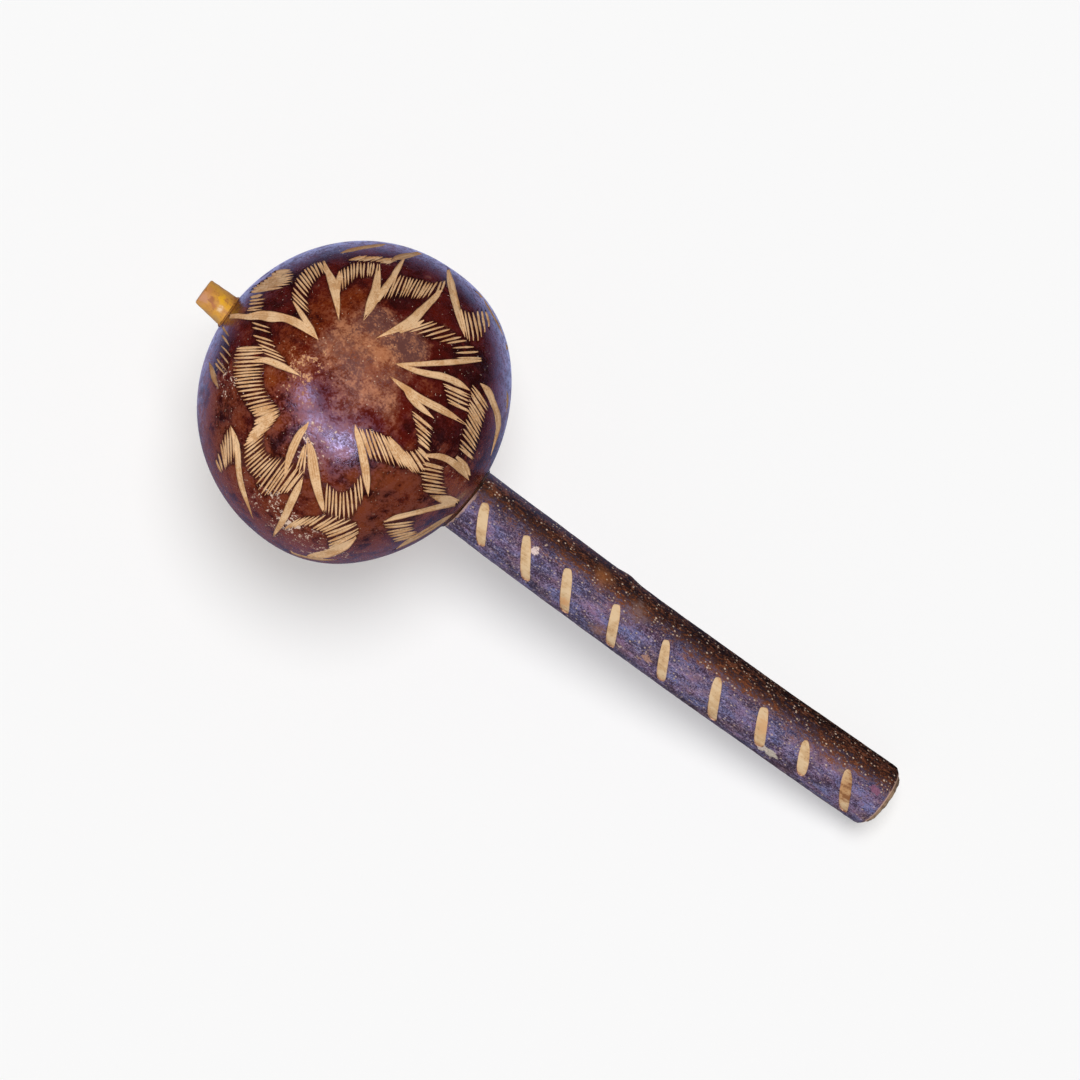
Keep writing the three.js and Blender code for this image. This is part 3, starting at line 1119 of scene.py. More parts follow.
@dataclass
class Gouge:
    """One groove on the gourd: its middle line and half widths, in millimetres."""

    line: np.ndarray
    half: np.ndarray
    tone: float
    crisp: float = 1.0
    shallowest: float = 0.22
    steepness: float = 0.45
    deepest: float = 0.7

    @property
    def depth(self) -> float:
        """How deep the groove goes: the deeper the wider it is."""
        return min(self.shallowest + self.steepness * float(self.half.max()), self.deepest)

    def sink(self, points: np.ndarray) -> np.ndarray:
        """The share of its depth that the groove has at points: 1 on the middle line, 0 at its edges.

        Args:
            points: one row each.

        Returns:
            One share for each point.
        """
        best = np.zeros(len(points))
        for i in range(len(self.line) - 1):
            start, step = self.line[i], self.line[i + 1] - self.line[i]
            share = np.clip((points - start) @ step / max(step @ step, 1e-9), 0, 1)
            gap = np.linalg.norm(points - start - share[:, None] * step, axis=1)
            half = self.half[i] + share * (self.half[i + 1] - self.half[i])
            best = np.maximum(best, 1 - (gap / np.maximum(half, 1e-6)) ** 2)
        return np.clip(best, 0, 1)


@dataclass(frozen=True)
class Notch:
    """A notch through the bark: its two ends in picture pixels and how square its ends are."""

    top: Pixel
    bottom: Pixel
    square: float = 4.0


@dataclass(frozen=True)
class Bead:
    """A glue bead: how far it runs over the gourd and climbs the stick, and what picks its unevenness."""

    spread: float
    climb: float
    seed: float


@dataclass
class Handle:
    """The branch: a peg through the crown, a spindle inside the gourd and a barked grip with notches."""

    stick: StickFrame
    camera: PictureCamera
    peg_tip: float = -PEG_REACH
    crown: float = -GOURD_CROWN
    seat: float = GOURD_BASE
    bark_end: float = 213.0
    core_end: float = 214.5
    peg_tip_radius: float = 4.35
    peg_root_radius: float = 5.2
    spindle_radius: float = 7.0
    grip_radius: float = 11.2
    bark_thickness: float = 0.9
    fit_gap: float = 0.3
    butt_round: float = 2.4
    butt_wear: float = 1.1
    bow: float = 2.9
    skew: float = 3.4
    gourd_belly: float = GOURD_BELLY
    notch_width: float = 3.6
    window_wear: float = 0.42
    core_gap: float = 0.15
    sides: int = 72
    bark_step: float = 1.25
    bark_tuck: float = 1.5
    bark_ease: float = 14.0
    notch_clear: float = 0.7
    joint_bead: Bead = Bead(0.5, 0.45, 2.0)
    peg_bead: Bead = Bead(0.3, 0.4, 8.0)
    notches: tuple[Notch, ...] = (
        Notch((484.5, 501.5), (480.5, 547)), Notch((527, 535), (525.5, 582)),
        Notch((568.5, 568), (564.5, 614)), Notch((617.5, 604), (609.5, 648)),
        Notch((667, 639.5), (660.5, 682), 3.4), Notch((718.5, 677), (711.5, 721.5), 3.4),
        Notch((764.5, 707), (758.5, 747.5)), Notch((806.5, 740), (800.5, 777), 2.5),
        Notch((848.5, 769), (842.5, 813), 2.7))
    knot: Pixel = (629, 577)
    scuffs: tuple[Mark, ...] = (
        Mark((533, 550), 0.9, (250, 224, 214)), Mark((645, 659), 1.6, (178, 136, 116)),
        Mark((772, 753), 1.8, (206, 194, 176)), Mark((760, 747), 1.3, (206, 190, 176)),
        Mark((875, 789), 1.3, (146, 92, 116)), Mark((478, 473), 2.2, (70, 42, 20)),
        Mark((841, 771), 1.4, (146, 118, 110)), Mark((597, 630), 2.2, (158, 114, 92), True),
        Mark((620, 647), 0.7, (196, 172, 160)), Mark((638, 612), 3.2, (140, 104, 90), True),
        Mark((603, 577), 2.8, (164, 100, 52), True))
    notch_stains: tuple[Mark, ...] = (
        Mark((846, 790), 4.5, (186, 134, 84)), Mark((853, 780), 2.4, (142, 90, 48)),
        Mark((853, 790), 2.8, (120, 72, 36)), Mark((850, 799), 2.2, (136, 86, 46)),
        Mark((562, 604), 2.2, (208, 150, 96)), Mark((763, 730), 3.0, (206, 158, 108)))
    # Marks on the peg: stains; the pale spot at (221, 309) is a painted highlight; the brown at its root,
    # (237, 304) and (232, 314), is glue stain with painted shade where the peg meets the gourd; (222, 287)
    # and (231, 293) darken its upper edge.
    peg_stains_and_painted_light: tuple[Mark, ...] = (
        Mark((203, 297), 2.4, (198, 138, 108)), Mark((209, 291), 1.6, (196, 130, 76)),
        Mark((212, 300), 1.0, (160, 92, 48)), Mark((214, 306), 1.0, (176, 104, 62)),
        Mark((222, 300), 1.3, (236, 176, 36)), Mark((227, 306), 1.2, (234, 172, 38)),
        Mark((221, 309), 1.0, (238, 206, 172)), Mark((208, 312), 1.6, (190, 152, 104)),
        Mark((217, 318), 1.4, (186, 144, 90)), Mark((237, 304), 2.2, (158, 90, 30)),
        Mark((232, 314), 1.3, (150, 92, 38)), Mark((222, 287), 1.1, (196, 112, 44)),
        Mark((231, 293), 1.1, (188, 106, 40)))

    def offset(self, along: Reading) -> Reading:
        """How far the stick's middle lies to the side of the gourd's own line, for numbers or a wire."""
        share = (along - self.peg_tip) / (self.core_end - self.peg_tip)
        return -1 * (self.skew * share + self.bow * 4 * share * (1 - share))

    def skin(self, along: np.ndarray, radius: np.ndarray, turn: np.ndarray) -> np.ndarray:
        """Points round the stick, turned from straight up towards the picture's lower left."""
        side = self.offset(along) - radius * np.sin(turn)
        return np.stack([along, side, radius * np.cos(turn)], axis=1)

    def outer_radius(self, along: np.ndarray) -> np.ndarray:
        """The bark's radius, worn round at the butt."""
        into = np.clip((along - self.bark_end + self.butt_round) / self.butt_round, 0, 1)
        return self.grip_radius - self.butt_wear * (1 - np.sqrt(1 - into**2))

    def gourd_at(self, radius: float, turn: np.ndarray) -> np.ndarray:
        """How far along the stick the gourd's skin lies, at a radius from the stick's middle.

        Args:
            radius: from the stick's middle.
            turn: the turn round it.

        Returns:
            One length for each turn.
        """
        side = self.offset(np.array([self.seat])) - radius * np.sin(turn)
        square = side**2 + (radius * np.cos(turn)) ** 2
        return self.seat * np.sqrt(1 - square / self.gourd_belly**2)

    def find(self, pixel: Pixel, radius: float) -> tuple[float, float]:
        """Finds the place on the stick that shows at a pixel.

        Args:
            pixel: where it shows in the picture.
            radius: the stick's radius there.

        Returns:
            How far along the stick it lies, and how far it is turned from straight up.
        """
        guess = np.array([130.0, 0.4])
        small = np.array([0.01, 0.0001])
        for _ in range(12):
            tries = np.array([guess, guess + (small[0], 0), guess + (0, small[1])])
            points = self.skin(tries[:, 0], np.full(3, radius), tries[:, 1])
            seen = self.camera.pixels(self.stick.out(points))
            slope = ((seen[1:] - seen[0]) / small[:, None]).T
            step = np.linalg.solve(slope, np.array(pixel) - seen[0])
            guess = guess + np.clip(step, (-60, -0.4), (60, 0.4))
            guess[1] = np.clip(guess[1], -1.4, 1.4)
        return float(guess[0]), float(guess[1])

    def spots(self, marks: tuple[Mark, ...], radius: float) -> tuple[Spot, ...]:
        """Finds marks of the picture on the stick.

        Args:
            marks: the marks.
            radius: the stick's radius there.

        Returns:
            The marks' places on the stick.
        """
        found = []
        for mark in marks:
            along, turn = self.find(mark.pixel, radius)
            place = self.skin(np.array([along]), np.array([radius]), np.array([turn]))
            middle = Vector(self.stick.out(place)[0])
            found.append(Spot(middle, mark.reach, tint(*mark.colour), mark.soft))
        return tuple(found)

    def notch_outlines(self) -> list[np.ndarray]:
        """Outlines of the notches on the unrolled grip, along the stick and round it, in millimetres.

        Returns:
            One outline for each notch.
        """
        outlines = []
        draw = random.Random(4)
        turns = np.linspace(0, 2 * math.pi, 30, endpoint=False)
        for notch in self.notches:
            found = [np.array(self.find(end, self.grip_radius)) for end in (notch.top, notch.bottom)]
            ends = [place * (1, self.grip_radius) for place in found]
            reach = (ends[1] - ends[0]) / 2
            across = np.array([reach[1], -reach[0]]) / np.linalg.norm(reach)
            half = self.notch_width / 2 * draw.uniform(0.92, 1.05)
            power = 2 / notch.square
            down = np.sign(np.cos(turns)) * np.abs(np.cos(turns)) ** power
            aside = np.sign(np.sin(turns)) * np.abs(np.sin(turns)) ** power
            aside = aside * (1 + 0.05 * np.sin(3 * turns + ends[0][0]))
            middle = (ends[0] + ends[1]) / 2
            outlines.append(middle + down[:, None] * reach + (half * aside)[:, None] * across)
        return outlines

    def bark_relief(self, along: np.ndarray, turn: np.ndarray) -> np.ndarray:
        """How far the bark stands off its even round: slow swells, wrinkles and one knot.

        Args:
            along: how far along the stick.
            turn: how far round it.

        Returns:
            One height for each point, in millimetres.
        """
        points = self.skin(along, np.full(len(along), self.grip_radius), turn)
        slow = lumps(points, np.array([0.03, 0.09, 0.09]), 3.0)
        wrinkle = lumps(points, np.array([0.16, 0.8, 0.8]), 11.0)
        pits = lumps(points, np.array([0.7, 0.9, 0.9]), 23.0)
        knot_along, knot_turn = self.find(self.knot, self.grip_radius)
        reach = ((along - knot_along) / 3.2) ** 2 + ((turn - knot_turn) * self.grip_radius / 4.0) ** 2
        return 0.22 * slow + 0.10 * wrinkle + 0.05 * pits + 0.55 * np.exp(-reach)

    def build_bark(self) -> MeshDraft:
        """The bark: a sleeve with the notches cut through it, fitted to the gourd at its upper end.

        Returns:
            The sleeve.
        """
        first = self.seat - self.bark_tuck
        coords, faces, window = self._bark_chart(first)
        turn = coords[:, 1] / self.grip_radius
        ease = np.clip((coords[:, 0] - first) / self.bark_ease, 0, 1)
        along = coords[:, 0] + (1 - ease) * (self.gourd_at(self.grip_radius, turn) + self.fit_gap - first)
        quiet = np.clip((self.bark_end - along) / 2, 0.2, 1)
        relief = np.where(window, -self.window_wear, self.bark_relief(along, turn) * quiet)
        outer = self.skin(along, self.outer_radius(along) + relief, turn)
        inner = self.skin(along, self.outer_radius(along) - self.bark_thickness, turn)
        return MeshDraft.sleeve(outer, inner, faces)

    def _bark_chart(self, first: float) -> tuple[np.ndarray, list[Face], np.ndarray]:
        """Lays the bark out flat, without its notches, and joins it up round the stick.

        Args:
            first: where the sleeve starts along the stick.

        Returns:
            Its points along the stick and round it, its faces, and which points lie on a notch's edge.
        """
        around = math.pi * self.grip_radius
        outlines = self.notch_outlines()
        flat = self._bark_grid(first, around, np.concatenate(outlines))
        plain = len(flat)
        loops = []
        for outline in outlines:
            loops.append(list(range(len(flat), len(flat) + len(outline))))
            flat.extend(map(tuple, outline))
        loops = [anticlockwise(loop, np.array(flat)) for loop in loops]
        coords, _, faces, sources, _, origin = delaunay_2d_cdt(
            [Vector(point) for point in flat], [], loops, 0, 1e-5)
        window = np.array([any(s >= plain for s in source) for source in sources])
        coords = np.array([tuple(c) for c in coords])
        kept = [face for face, inside in zip(faces, origin) if not inside]
        left = {round(c[0], 3): i for i, c in enumerate(coords) if abs(c[1] + around) < 1e-3}
        weld = {i: left[round(c[0], 3)] for i, c in enumerate(coords) if abs(c[1] - around) < 1e-3}
        return coords, [tuple(weld.get(i, i) for i in reversed(face)) for face in kept], window

    def _bark_grid(self, first: float, around: float, edges: np.ndarray) -> list[tuple[float, float]]:
        """Spreads staggered points over the flat bark.

        Args:
            first: where the sleeve starts along the stick.
            around: half the way round it.
            edges: points on the notches' edges, which the grid keeps clear of.

        Returns:
            Points along the stick and round it.
        """
        rows = round((self.bark_end - first) / self.bark_step)
        strips = round(2 * around / self.bark_step)
        rounds = np.linspace(-around, around, strips + 1)
        tree = point_tree(np.pad(edges, ((0, 0), (0, 1))))
        flat = []
        for i in range(rows + 1):
            along = first + (self.bark_end - first) * i / rows
            for j, turn in enumerate(rounds):
                rim = j in (0, strips) or i in (0, rows)
                shift = 0.0 if rim or i % 2 == 0 else 0.5 * self.bark_step
                if rim or tree.find((along, turn + shift, 0))[2] > self.notch_clear:
                    flat.append((along, turn + shift))
        return flat

    def build_stick(self) -> MeshDraft:
        """The peeled stick inside the bark, with its spindle and peg, from the butt to the peg's tip.

        Returns:
            The stick.
        """
        turn = np.linspace(0, 2 * math.pi, self.sides, endpoint=False)
        ones = np.ones(self.sides)
        core_inset = self.bark_thickness + self.core_gap
        rings: list[Ring] = []
        end_radius = float(self.outer_radius(np.array([self.bark_end]))[0]) - core_inset
        for share in (0.18, 0.4, 0.62, 0.82, 0.95):
            ragged = lumps(np.stack([share * 4 * np.cos(turn), share * 4 * np.sin(turn), ones], 1),
                           np.full(3, 1.7), 5.0)
            rings.append((self.core_end - 0.12 + 0.3 * ragged, end_radius * share * ones, StickFace.END))
        chipped = lumps(np.stack([4 * np.cos(turn), 4 * np.sin(turn), ones], 1), np.full(3, 1.1), 9.0)
        rings.append((self.core_end - 0.5 + 0.45 * chipped, end_radius * ones, StickFace.END))
        rings.append((self.bark_end + 0.1 * chipped, end_radius * ones, StickFace.END))
        for along in np.linspace(self.bark_end - 0.6, self.seat + 3, 90):
            radius = float(self.outer_radius(np.array([along]))[0]) - core_inset
            rings.append((along * ones, radius * ones, StickFace.GRIP))
        for radius in (self.grip_radius - core_inset, 9.0, 8.0, self.spindle_radius):
            rings.append((self.gourd_at(radius, turn) + self.fit_gap, radius * ones, StickFace.GRIP))
        for along in np.linspace(self.seat - 1.5, self.crown + 4, 24):
            share = (along - self.crown) / (self.seat - self.crown)
            radius = self.peg_root_radius + share * (self.spindle_radius - self.peg_root_radius)
            rings.append((along * ones, radius * ones, StickFace.PEG))
        rings += self._peg_rings(turn)
        return MeshDraft.lofted([self.skin(along, radius, turn) for along, radius, _ in rings],
                                [kind for _, _, kind in rings])

    def _peg_rings(self, turn: np.ndarray) -> list[Ring]:
        """The peg's rings, whittled a little flat and broken at its edge.

        Args:
            turn: where a ring's points lie round the peg.

        Returns:
            The rings.
        """
        rings: list[Ring] = []
        facet = 0.10 * np.cos(5 * turn + 0.6) + 0.07 * np.cos(3 * turn + 2.0)
        for along in np.linspace(self.crown + 2, self.peg_tip + 0.45, 14):
            share = np.clip((along - self.peg_tip) / (self.crown - self.peg_tip), 0, 1)
            radius = self.peg_tip_radius + share * (self.peg_root_radius - self.peg_tip_radius)
            wobble = 0.05 * np.sin(along * 1.9 + 3 * turn)
            uneven = (1 - 0.5 * share) * (facet + wobble)
            rings.append((np.full(len(turn), along), radius + uneven, StickFace.PEG))
        for inset, back in ((0.12, 0.15), (0.45, 0.0), (1.6, 0.06), (3.0, 0.02)):
            radius = self.peg_tip_radius - inset + facet
            rings.append((self.peg_tip + back + 0.04 * facet, radius, StickFace.PEG))
        return rings

    def build_bead(self, gourd_height: float, stick_radius: float, bead: Bead) -> MeshDraft:
        """A glue bead in the corner between the gourd and the stick.

        Args:
            gourd_height: where the gourd's skin lies along the stick; negative on the crown.
            stick_radius: the radius of what the bead goes round.
            bead: the bead's sizes.

        Returns:
            The bead as a closed ring.
        """
        turn = np.linspace(0, 2 * math.pi, self.sides, endpoint=False)
        ring = np.stack([4 * np.cos(turn), 4 * np.sin(turn), 0 * turn], 1)
        slow = lumps(ring, np.full(3, 0.8), bead.seed)
        swell = 1 + 0.35 * slow + 0.15 * lumps(ring, np.full(3, 2.4), bead.seed + 5)
        inner = stick_radius + self.fit_gap
        section = ((0.0, 0.0), (0.0, 0.55), (0.0, 1.0), (0.16, 0.86), (0.36, 0.5), (0.66, 0.2), (1.0, 0.0),
                   (0.5, 0.0))
        middle = self.offset(np.array([gourd_height]))[0]
        loops = []
        for lift, reach in section:
            radius = inner + bead.spread * reach * swell
            side = middle - radius * np.sin(turn)
            square = side**2 + (radius * np.cos(turn)) ** 2
            skin = gourd_height * np.sqrt(1 - square / self.gourd_belly**2)
            height = self.fit_gap * 0.5 + bead.climb * lift * swell
            along = skin + math.copysign(1, gourd_height) * height
            loops.append(np.stack([along, side, radius * np.cos(turn)], 1))
        if gourd_height < 0:
            loops.reverse()
        return MeshDraft.ring(loops)

    def _woods(self) -> list[bpy.types.Material]:
        """Materials of the peeled grip, the peg and the sawn end.

        Returns:
            The three materials, in the order of StickFace.
        """
        notch_wood = WoodFinish(
            self.stick, "notch_wood", tint(220, 190, 150), tint(204, 168, 124), tint(158, 112, 72),
            stains_and_painted_light=self.spots(self.notch_stains, self.grip_radius))
        peg_wood = WoodFinish(
            self.stick, "peg_wood", tint(220, 160, 58), tint(202, 140, 66), tint(136, 72, 30), 0.5, 420.0,
            self.spots(self.peg_stains_and_painted_light, self.peg_tip_radius))
        end_wood = WoodFinish(
            self.stick, "end_grain", tint(150, 124, 98), tint(112, 88, 70), tint(70, 52, 42), 0.75)
        return [notch_wood.material(), peg_wood.material(), end_wood.material()]

    def dress(self) -> None:
        """Makes the bark, the stick and the two glue beads, and puts each in its node's place."""
        bark = BarkFinish(self, self.spots(self.scuffs, self.grip_radius))
        sleeve = self.build_bark().build("handle_bark_sleeve", self.stick, [bark.material(), bark.edge()])
        settle(sleeve, "handle_bark")
        branch = self.build_stick().build("handle_stick_peeled", self.stick, self._woods())
        settle(branch, "handle_stick")
        glue = PlainFinish("glue", tint(84, 44, 18), tint(40, 19, 9), 420.0, 0.35).material()
        joint = self.build_bead(self.seat, self.grip_radius, self.joint_bead)
        settle(joint.build("joint_glue_bead", self.stick, [glue]), "joint_glue")
        amber = PlainFinish("amber_glue", tint(176, 116, 40), tint(112, 66, 28), 600.0, 0.35).material()
        peg = self.build_bead(self.crown, self.peg_root_radius, self.peg_bead)
        settle(peg.build("peg_glue_bead", self.stick, [amber]), "peg_glue")


@dataclass
class Gourd:
    """The gourd: two half-spheroids that share the belly, hollow, holed at both ends and carved all over."""

    stick: StickFrame
    camera: PictureCamera
    handle: Handle
    belly: float = GOURD_BELLY
    crown: float = GOURD_CROWN
    base: float = GOURD_BASE
    wall: float = 3.2
    bulge: float = 1.0
    blade_fill: float = 0.88
    row_fill: float = 0.74
    row_crisp: float = 1.8
    groove_width: float = 3.0
    widest_groove: float = 1.6
    skin_points: int = 9000
    hole_sides: int = 48
    hole_margin: float = 1.6
    rim_clear: float = 1.0
    skin_clear: float = 0.85
    back_clear: float = 3.0
    back_end: float = 44.0
    inner_rings: int = 30
    crest: Pixel = (360, 364)
    # Worn spots scatter pale chips; the one at (318, 440) lies in the highlight, where its chips also stand
    # in for glints, partly a painted highlight.
    worn: tuple[Pixel, ...] = ((285, 520), (268, 502), (300, 540), (335, 552), (318, 440), (228, 388))
    peach: tuple[Pixel, ...] = ((303, 350), (311, 366), (384, 350), (300, 384))
    bare: tuple[Pixel, ...] = (
        (341, 328), (353, 337), (366, 346), (380, 354), (392, 360), (345, 378), (368, 388), (388, 398),
        (328, 362))
    mauve: tuple[Pixel, ...] = ((409, 338), (418, 348), (405, 350), (372, 314), (385, 322))
    amber: tuple[Pixel, ...] = ((300, 345), (345, 305), (285, 400), (452, 488))

    def stretch(self, unit: np.ndarray, inset: float = 0.0) -> np.ndarray:
        """Semi-axes of the spheroid at each point of the unit ball.

        Args:
            unit: points of the unit ball.
            inset: how far inside the skin.

        Returns:
            Three lengths for each point.
        """
        height = np.where(unit[:, 0] < 0, self.crown, self.base) - inset
        belly = np.full(len(unit), self.belly - inset)
        return np.stack([height, belly, belly], 1)

    def swell(self, unit: np.ndarray) -> np.ndarray:
        """The grown gourd's unevenness, in millimetres.

        Args:
            unit: points of the unit ball.

        Returns:
            One height for each point.
        """
        turn = np.arctan2(unit[:, 1], unit[:, 2])
        round_part = 1 - unit[:, 0] ** 2
        slow = 0.30 * np.cos(3 * turn + 0.7) + 0.22 * np.cos(2 * turn + 2.9 * unit[:, 0] + 2.0)
        shoulder = np.sin(math.pi * np.clip((unit[:, 0] + 0.1) / 1.07, 0, 1)) ** 2
        above_table = np.clip(1 + 1.6 * unit[:, 2], 0, 1)
        uneven = round_part * (slow + 0.12 * np.sin(7 * turn + 5 * unit[:, 0]))
        return uneven + self.bulge * shoulder * above_table

    def outside(self, unit: np.ndarray) -> np.ndarray:
        """Points of the skin for points of the unit ball."""
        return unit * (self.stretch(unit) + self.swell(unit)[:, None])

    def normals(self, unit: np.ndarray) -> np.ndarray:
        """The skin's directions outwards, by small steps along it.

        Args:
            unit: points of the unit ball.

        Returns:
            One direction for each point.
        """
        helper = np.where(np.abs(unit[:, :1]) < 0.8, [[1.0, 0, 0]], [[0, 1.0, 0]])
        first = np.cross(unit, helper)
        first /= np.linalg.norm(first, axis=1, keepdims=True)
        second = np.cross(unit, first)
        step = 0.01
        slopes = []
        for way in (first, second):
            ahead = unit + way * step
            behind = unit - way * step
            slopes.append(self.outside(ahead / np.linalg.norm(ahead, axis=1, keepdims=True))
                          - self.outside(behind / np.linalg.norm(behind, axis=1, keepdims=True)))
        across = np.cross(slopes[0], slopes[1])
        return across / np.linalg.norm(across, axis=1, keepdims=True)

    def to_unit(self, points: np.ndarray) -> np.ndarray:
        """Points near the skin as points of the unit ball."""
        unit = points / self.stretch(points)
        return unit / np.linalg.norm(unit, axis=1, keepdims=True)

    def touch(self, pixels: np.ndarray) -> np.ndarray:
        """Points of the skin that show at pixels; one just past the outline is drawn in to it.

        Args:
            pixels: one row each.

        Returns:
            One point for each pixel.
        """
        eye = self.stick.into(np.array([self.camera.eye]))[0]
        middle = self.camera.pixels(self.stick.out(np.zeros((1, 3))))[0]
        pulled = pixels.astype(float).copy()
        found = np.zeros((len(pixels), 3))
        todo = np.arange(len(pixels))
        while len(todo):
            ways = self.camera.rays(pulled[todo]) @ self.stick.axes.T
            missed = np.ones(len(todo), bool)
            for height, sign in ((self.crown, -1), (self.base, 1)):
                axes = np.array([height, self.belly, self.belly])
                start, way = eye / axes, ways / axes
                a, b = (way**2).sum(1), way @ start
                inside = b**2 - a * (start @ start - 1)
                hit = inside > 0
                reach = (-b - np.sqrt(np.where(hit, inside, 0))) / a
                point = start + reach[:, None] * way
                good = hit & (point[:, 0] * sign >= 0)
                found[todo[good]] = point[good]
                missed &= ~good
            todo = todo[missed]
            pulled[todo] = middle + (pulled[todo] - middle) * 0.99
        return self.outside(found / np.linalg.norm(found, axis=1, keepdims=True))

    def gouges(self) -> list[Gouge]:
        """All grooves: those that the picture shows, and the same design turned round to the far side.

        Returns:
            The grooves.
        """
        draw = random.Random(11)
        front: list[Gouge] = []
        for arm in ARMS:
            front += self._blade(arm, draw)
        for row in ROWS:
            front += self._row(row, draw)
        front = [gouge for gouge in front if len(gouge.line) > 2]
        tree = point_tree(np.concatenate([gouge.line for gouge in front]))
        back = []
        for gouge in front:
            line = gouge.line * (1, -1, -1)
            clear = min(tree.find(point)[2] for point in line) > self.back_clear
            if clear and line[:, 0].max() < self.back_end:
                back.append(Gouge(line, gouge.half, gouge.tone, gouge.crisp))
        return front + back

    def _blade(self, arm: Arm, draw: random.Random) -> list[Gouge]:
        """A blade as a bundle of grooves side by side, as a small gouge leaves it.

        Args:
            arm: the blade.
            draw: the source of its unevenness.

        Returns:
            Its grooves.
        """
        stations = np.array(arm.stations, float)
        places = np.linspace(0, len(stations) - 1, 4 * (len(stations) - 1) + 1)
        path = spline(stations, places)
        width = np.maximum(path[:, 2], 0.0)
        way = np.gradient(path[:, :2], axis=0)
        way /= np.linalg.norm(way, axis=1, keepdims=True)
        across = np.stack([-way[:, 1], way[:, 0]], 1)
        width *= self.blade_fill
        count = max(1, round(width.max() / self.groove_width))
        made = []
        for k in range(count):
            reach = 0.5 if count == 1 else 0.57 / count
            lean = 0.0 if count == 1 else (2 * k / (count - 1) - 1) * (0.5 - reach)
            middle = path[:, :2] + across * (lean * width)[:, None]
            ragged = np.array([draw.uniform(0.88, 1.1) for _ in width])
            half = width * reach * ragged
            trim = draw.randint(0, 2) if 0 < k < count - 1 else 0
            keep = slice(trim, len(path) - trim)
            made.append(self._gouge(middle[keep], half[keep], arm.tone))
        return made

    def _row(self, row: Row, draw: random.Random) -> list[Gouge]:
        """A row of leaf-shaped cuts between the row's key cuts.

        Args:
            row: the row.
            draw: the source of its unevenness.

        Returns:
            Its grooves.
        """
        keys = np.array([[*start, *end] for start, end in row.keys], float)
        places = [0.0]
        for i, steps in enumerate(row.steps):
            places += [i + (k + 1) / steps for k in range(steps)]
        cuts = spline(keys, np.array(places))
        profile = np.array([0.3, 0.85, 1.0, 1.0, 0.92, 0.62, 0.0])
        shares = np.linspace(0, 1, len(profile))[:, None]
        made = []
        for cut in cuts:
            start = cut[:2] + [draw.uniform(-0.6, 0.6), draw.uniform(-0.6, 0.6)]
            end = cut[2:] + [draw.uniform(-0.8, 0.8), draw.uniform(-0.8, 0.8)]
            sag = draw.uniform(-0.5, 0.5) * np.sin(math.pi * shares)
            side = np.array([start[1] - end[1], end[0] - start[0]]) / np.linalg.norm(end - start)
            middle = start + (end - start) * shares + side * sag
            ragged = np.array([draw.uniform(0.85, 1.15) for _ in profile])
            half = profile * ragged * row.width / 2 * self.row_fill * draw.uniform(0.9, 1.1)
            made.append(self._gouge(middle, half, row.tone, self.row_crisp))
        return made

    def _gouge(self, middle: np.ndarray, half: np.ndarray, tone: float, crisp: float = 1.0) -> Gouge:
        """A groove from its middle line and half widths in pixels, cut short of the holes.

        Args:
            middle: the middle line.
            half: the half widths.
            tone: how dark the cut is.
            crisp: how soon its edge turns pale.

        Returns:
            The groove, in millimetres.
        """
        line = self.touch(middle)
        way = np.gradient(middle, axis=0)
        across = np.stack([-way[:, 1], way[:, 0]], 1) / np.linalg.norm(way, axis=1, keepdims=True)
        edge = across * np.maximum(half, 0.05)[:, None]
        wide = np.linalg.norm(self.touch(middle + edge) - self.touch(middle - edge), axis=1) / 2
        clear = ~self._in_hole(self.to_unit(line), self.hole_margin)
        return Gouge(line[clear], np.minimum(wide, self.widest_groove)[clear], tone, crisp)

    @staticmethod
    def chart(unit: np.ndarray) -> np.ndarray:
        """The unit ball laid flat from the handle's end, which keeps small shapes as they are."""
        return unit[:, 1:] / (1 - unit[:, :1])

    @staticmethod
    def unchart(flat: np.ndarray) -> np.ndarray:
        """Points of the flat chart back on the unit ball."""
        square = (flat**2).sum(1, keepdims=True)
        return np.concatenate([(square - 1), 2 * flat], 1) / (square + 1)

    def outline(self, gouge: Gouge) -> np.ndarray:
        """The groove's edge on the unit ball, once round.

        Args:
            gouge: the groove.

        Returns:
            The edge's points.
        """
        line = gouge.line
        way = np.gradient(line, axis=0)
        across = np.cross(self.normals(self.to_unit(line)), way)
        across /= np.linalg.norm(across, axis=1, keepdims=True)
        left = line + across * gouge.half[:, None]
        right = line - across * gouge.half[:, None]
        return self.to_unit(np.concatenate([left, right[::-1]]))

    def hole(self, height: float, radius: float) -> np.ndarray:
        """The rim of a hole that the stick goes through, on the unit ball.

        Args:
            height: where the hole lies along the stick.
            radius: its radius.

        Returns:
            The rim's points.
        """
        turn = np.linspace(0, 2 * math.pi, self.hole_sides, endpoint=False)
        side = (self.handle.offset(np.array([height])) - radius * np.sin(turn)) / self.belly
        up = radius * np.cos(turn) / self.belly
        along = math.copysign(1, height) * np.sqrt(1 - side**2 - up**2)
        return np.stack([along, side, up], 1)

    def rims(self) -> list[np.ndarray]:
        """The rims of the peg's hole and of the spindle's, on the unit ball.

        Returns:
            The two rims.
        """
        gap = self.handle.fit_gap
        return [self.hole(-self.crown, self.handle.peg_root_radius + gap),
                self.hole(self.base, self.handle.spindle_radius + gap)]

